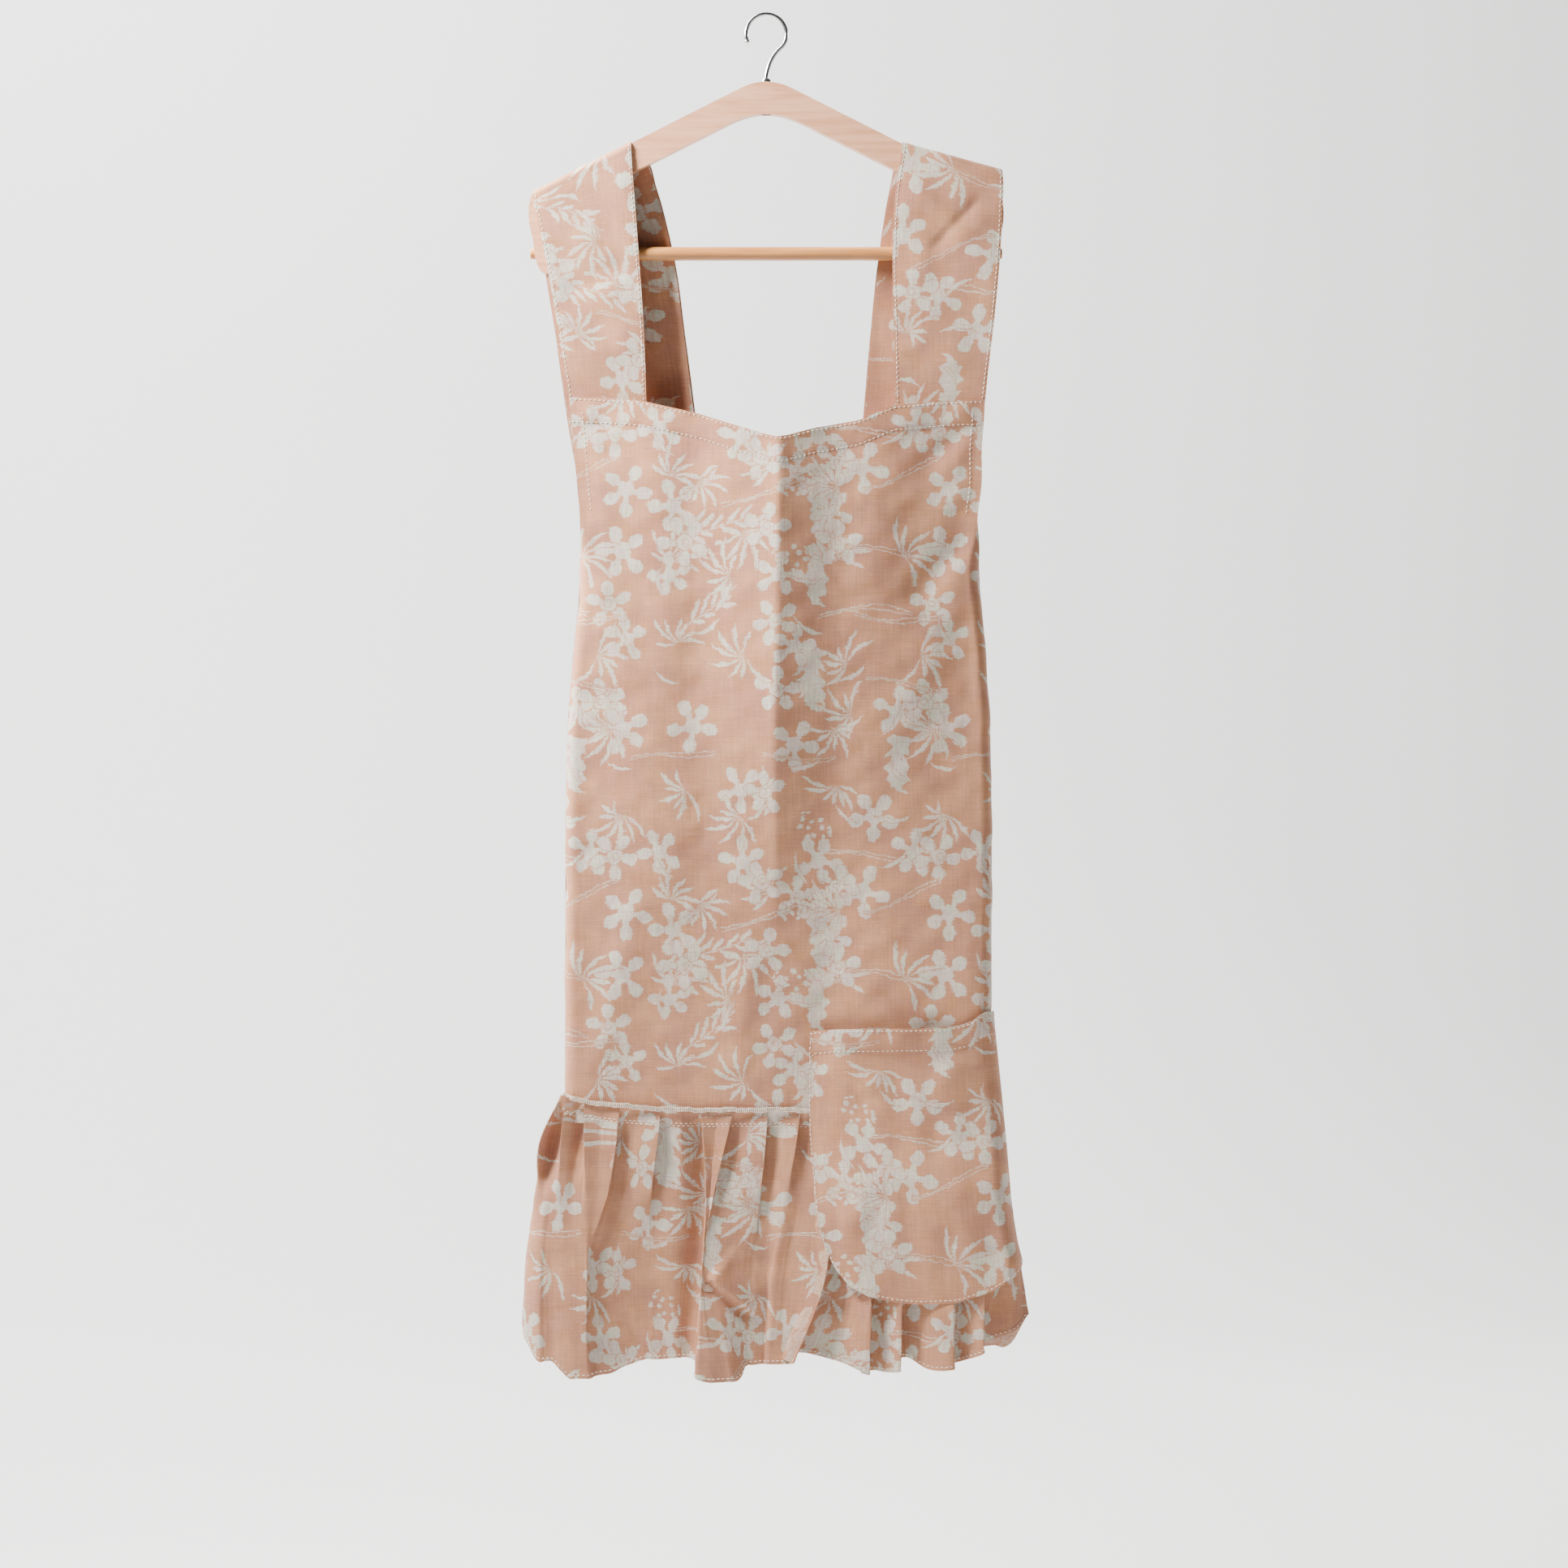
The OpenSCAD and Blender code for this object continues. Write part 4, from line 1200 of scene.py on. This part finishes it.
# ------------------------------------------------------------------ putting the pieces together
def repaint(node, material):
    """A CAD node keeps its shape and takes a better material."""
    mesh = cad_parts[node].data
    for index in range(max(1, len(mesh.materials))):
        if len(mesh.materials) <= index:
            mesh.materials.append(material)
        else:
            mesh.materials[index] = material


def make_hanger():
    board_wood = wood("board_wood", (234, 178, 142), (214, 150, 112))
    bar_wood = wood("bar_wood", (214, 152, 88), (184, 118, 62))
    bright = steel("bright_steel", 0.14, 0.82)
    dull = steel("dull_steel", 0.34, 0.62)
    repaint("hanger_board", board_wood)
    repaint("trouser_bar", bar_wood)
    repaint("hook", bright)
    repaint("hook_collar", bright)
    for node in ("bar_brads", "hook_washer", "hook_nut"):
        repaint(node, dull)
    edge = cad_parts["hanger_board"].modifiers.new("rounded_edges", "BEVEL")
    edge.width = 2.0 * MM
    edge.segments = 3
    edge.limit_method = "ANGLE"
    edge.angle_limit = math.radians(60)


def across(cloth, row, count=2600):
    """A path across the cloth at one row."""
    return cloth.at(np.full(count, float(row)), np.linspace(0, 1, count) * (cloth.points.shape[1] - 1))


def along_edge(cloth, distance, end=1.0, count=700):
    """A path that keeps a distance below the top edge, from the left to end of the way across."""
    cols = np.linspace(0, end, count) * (cloth.points.shape[1] - 1)
    rows = np.array([steps_to(cloth.points[:, int(c)], distance) for c in cols])
    return cloth.at(evened(rows), cols)


def column_inside(cloth, row, distance, from_right=False):
    """The grid column that lies distance mm in from one side, at a row."""
    if from_right:
        return cloth.points.shape[1] - 1 - steps_to(cloth.points[row][::-1], distance)
    return steps_to(cloth.points[row], distance)


def beside_edge(cloth, distance, from_right=False, start=0.0, end=1.0):
    """A path that keeps a distance in from one side, from start to end of the way down."""
    rows = np.linspace(start, end, 900) * (cloth.points.shape[0] - 1)
    cols = np.array([column_inside(cloth, int(r), distance, from_right) for r in rows])
    return cloth.at(rows, evened(cols))


def make_bib(looks):
    panel = front_panel()
    lines = [along_edge(panel, EDGE_STITCH), along_edge(panel, BIB_HEM),
             *(beside_edge(panel, 11, from_right, start=0.02, end=0.16) for from_right in (False, True))]
    stitches = make_stitching("bib_stitching", lines, looks["thread"])
    make_sheet("front_panel_cloth", panel, looks["front"], looks["inside"], "front_panel")
    make_sheet("bib_hem_cloth", bib_facing(), looks["inside"], looks["strap"], "bib_facing")


def make_strap(name, rows, right, looks):
    outer = strap(rows, right)
    inner = lining(outer)
    lines = [beside_edge(outer, 2.4), beside_edge(outer, 2.4, from_right=True)]
    seams = make_stitching(f"{name}_stitching", lines, looks["thread"])
    make_sheet(f"{name}_cloth", outer, looks["strap"], looks["inside"], name,
               outer.strip_size())
    make_sheet(f"{name}_lining_cloth", inner, looks["inside"], looks["lining"], f"{name}_lining",
               size=inner.strip_size())


def make_wing(side, sign, depth, looks):
    cloth = wing(sign, depth)
    lines = [along_edge(cloth, EDGE_STITCH), along_edge(cloth, 14), beside_edge(cloth, 8, from_right=True)]
    seams = make_stitching(f"{side}_wing_stitching", lines, looks["thread"])
    make_sheet(f"{side}_wing_cloth", cloth, looks["back"], looks["inside"], f"{side}_wing")


def hem_line(cloth):
    return across(cloth, cloth.points.shape[0] - 2.2)


def make_front_ruffle(looks):
    skirt = ruffle(front_bends, seam_front, rows=84, per_bend=10, seed=71, outward=-1, tuck=front_tuck)
    lines = [along_edge(skirt, 13, count=2600), along_edge(skirt, 15.2, count=2600), hem_line(skirt)]
    seams = make_stitching("ruffle_stitching", lines, looks["thread"])
    band, *threads = seam_band(looks["overlock"], looks["thread"])
    ride_on_hanger(band, "overlock_thread", "ruffle_seam_edge")
    for trim in threads:
        ride_on_hanger(trim, "overlock_thread")
    make_sheet("front_ruffle_cloth", skirt, looks["ruffle"], looks["inside"], "front_ruffle")


def make_back_ruffle(side, folds, seed, looks):
    name = f"{side}_back_ruffle"
    flounce = ruffle(lambda w: table_bends(folds, w), seam_back, rows=70, per_bend=15, seed=seed, outward=1)
    seams = make_stitching(f"{name}_stitching", [along_edge(flounce, 13), hem_line(flounce)], looks["thread"])
    make_sheet(f"{name}_cloth", flounce, looks["ruffle"], looks["inside"], name)


def make_pocket(looks):
    patch = pocket()
    make_sheet("pocket_hem_cloth", pocket_facing(patch), looks["inside"], looks["pocket"], "pocket_facing")
    lines = [along_edge(patch, EDGE_STITCH, end=0.97), along_edge(patch, POCKET_HEM, end=0.97),
             pocket_outline(patch)]
    seams = make_stitching("pocket_stitching", lines, looks["thread"])
    make_sheet("pocket_cloth", patch, looks["pocket"], looks["inside"], "pocket",
               patch.outline_size())


def make_apron(looks):
    make_bib(looks)
    make_strap("left_strap", LEFT_STRAP, False, looks)
    make_strap("right_strap", RIGHT_STRAP, True, looks)
    make_wing("left", -1, 10.6, looks)
    make_wing("right", 1, 15.4, looks)
    make_front_ruffle(looks)
    make_back_ruffle("left", left_back_folds(), 91, looks)
    make_back_ruffle("right", right_back_folds(), 93, looks)
    make_pocket(looks)


def seam_band(base, threads):
    """The ruffle's overlocked top edge, which stands proud along the front as far as the pocket."""
    x = np.linspace(-190, 42, 300)[None, :]
    v = np.linspace(0, 1, 8)[:, None]
    top = seam_front(x) + 2.2 + 0.35 * np.sin(x / 3.1) + 0.4 * np.sin(x / 7.7) + 0.25 * np.sin(x / 1.3)
    z = top - 3.9 * v
    lean = smooth((x + 190) / 10)
    y = -(9.5 + 7.4 * lean) - 0.5 * np.sin(v * math.pi) + 0.25 * np.sin(x / 5.3)
    x = np.broadcast_to(x, z.shape)
    cloth = Cloth(np.stack([x, y, z], axis=-1), np.stack([x, z], axis=-1), -1)
    band = cloth.build("overlocked_edge", base, base, 0.6)
    cols = np.linspace(1, 296, 122)
    _, outward = cloth.at(np.full(len(cols), 0.0), cols)

    def threads_between(name, lift, radius, bow, *ends):
        """Threads from one (row, columns further on) of the band to another, for each pair of ends."""
        places = [cloth.at(np.full(len(cols), row), cols + on)[0] + outward * lift for row, on in ends]
        starts, stops = np.concatenate(places[::2]), np.concatenate(places[1::2])
        leans = np.concatenate([outward] * (len(ends) // 2))
        return thread_mesh(name, starts, stops, leans, radius, bow, threads)

    loops = threads_between("overlock_loops", 0.3, 0.46, 0.5, (0.0, 0), (6.9, 1.6))
    chain = threads_between("overlock_chain", 0.35, 0.44, 0.45, (0.3, 0), (0.3, 1.7), (6.7, 0), (6.7, 1.7))
    return band, loops, chain


def make_backdrop():
    """A pale floor that sweeps up into a pale wall."""
    floor_z, wall_y, sweep = -1620, 4800, 1800
    profile = [(-7000, floor_z)]
    profile += [(wall_y - sweep + sweep * math.sin(a), floor_z + sweep - sweep * math.cos(a))
                for a in np.linspace(0, math.pi / 2, 24)]
    profile += [(wall_y, 4500)]
    verts = [(x, y, z) for x in (-8000, 8000) for y, z in profile]
    count = len(profile)
    faces = [(i, i + count, i + count + 1, i + 1) for i in range(count - 1)]
    paper, _, shader = new_material("backdrop_paper")
    shader.inputs["Base Color"].default_value = srgb(248, 248, 247)
    shader.inputs["Roughness"].default_value = 0.95
    link_mesh("backdrop", verts, faces, [paper])


def main():
    make_camera()
    make_lights()
    make_backdrop()
    make_hanger()
    tree = print_group()
    # The darkening factors below 1 are painted shade: they darken the ruffle, the wrong side, the straps and
    # the lining evenly, to stand in for the shade that falls on them.
    looks = {
        "front": linen("linen_front", tree, (20, 0)),
        "strap": linen("linen_strap", tree, (-60, 40), painted_shade=0.94),
        "back": linen("linen_back", tree, (120, 60)),
        "ruffle": linen("linen_ruffle", tree, (-90, 110), painted_shade=0.86),
        "pocket": linen("linen_pocket", tree, (-20, -130)),
        "lining": linen("linen_lining", tree, (170, -60), painted_shade=0.97),
        "inside": linen("linen_inside", tree, (20, 0), wrong_side=True, painted_shade=0.86),
        "thread": thread("cotton_thread", (244, 232, 214)),
        "overlock": thread("overlock_base", (198, 165, 140)),
    }
    make_apron(looks)


main()
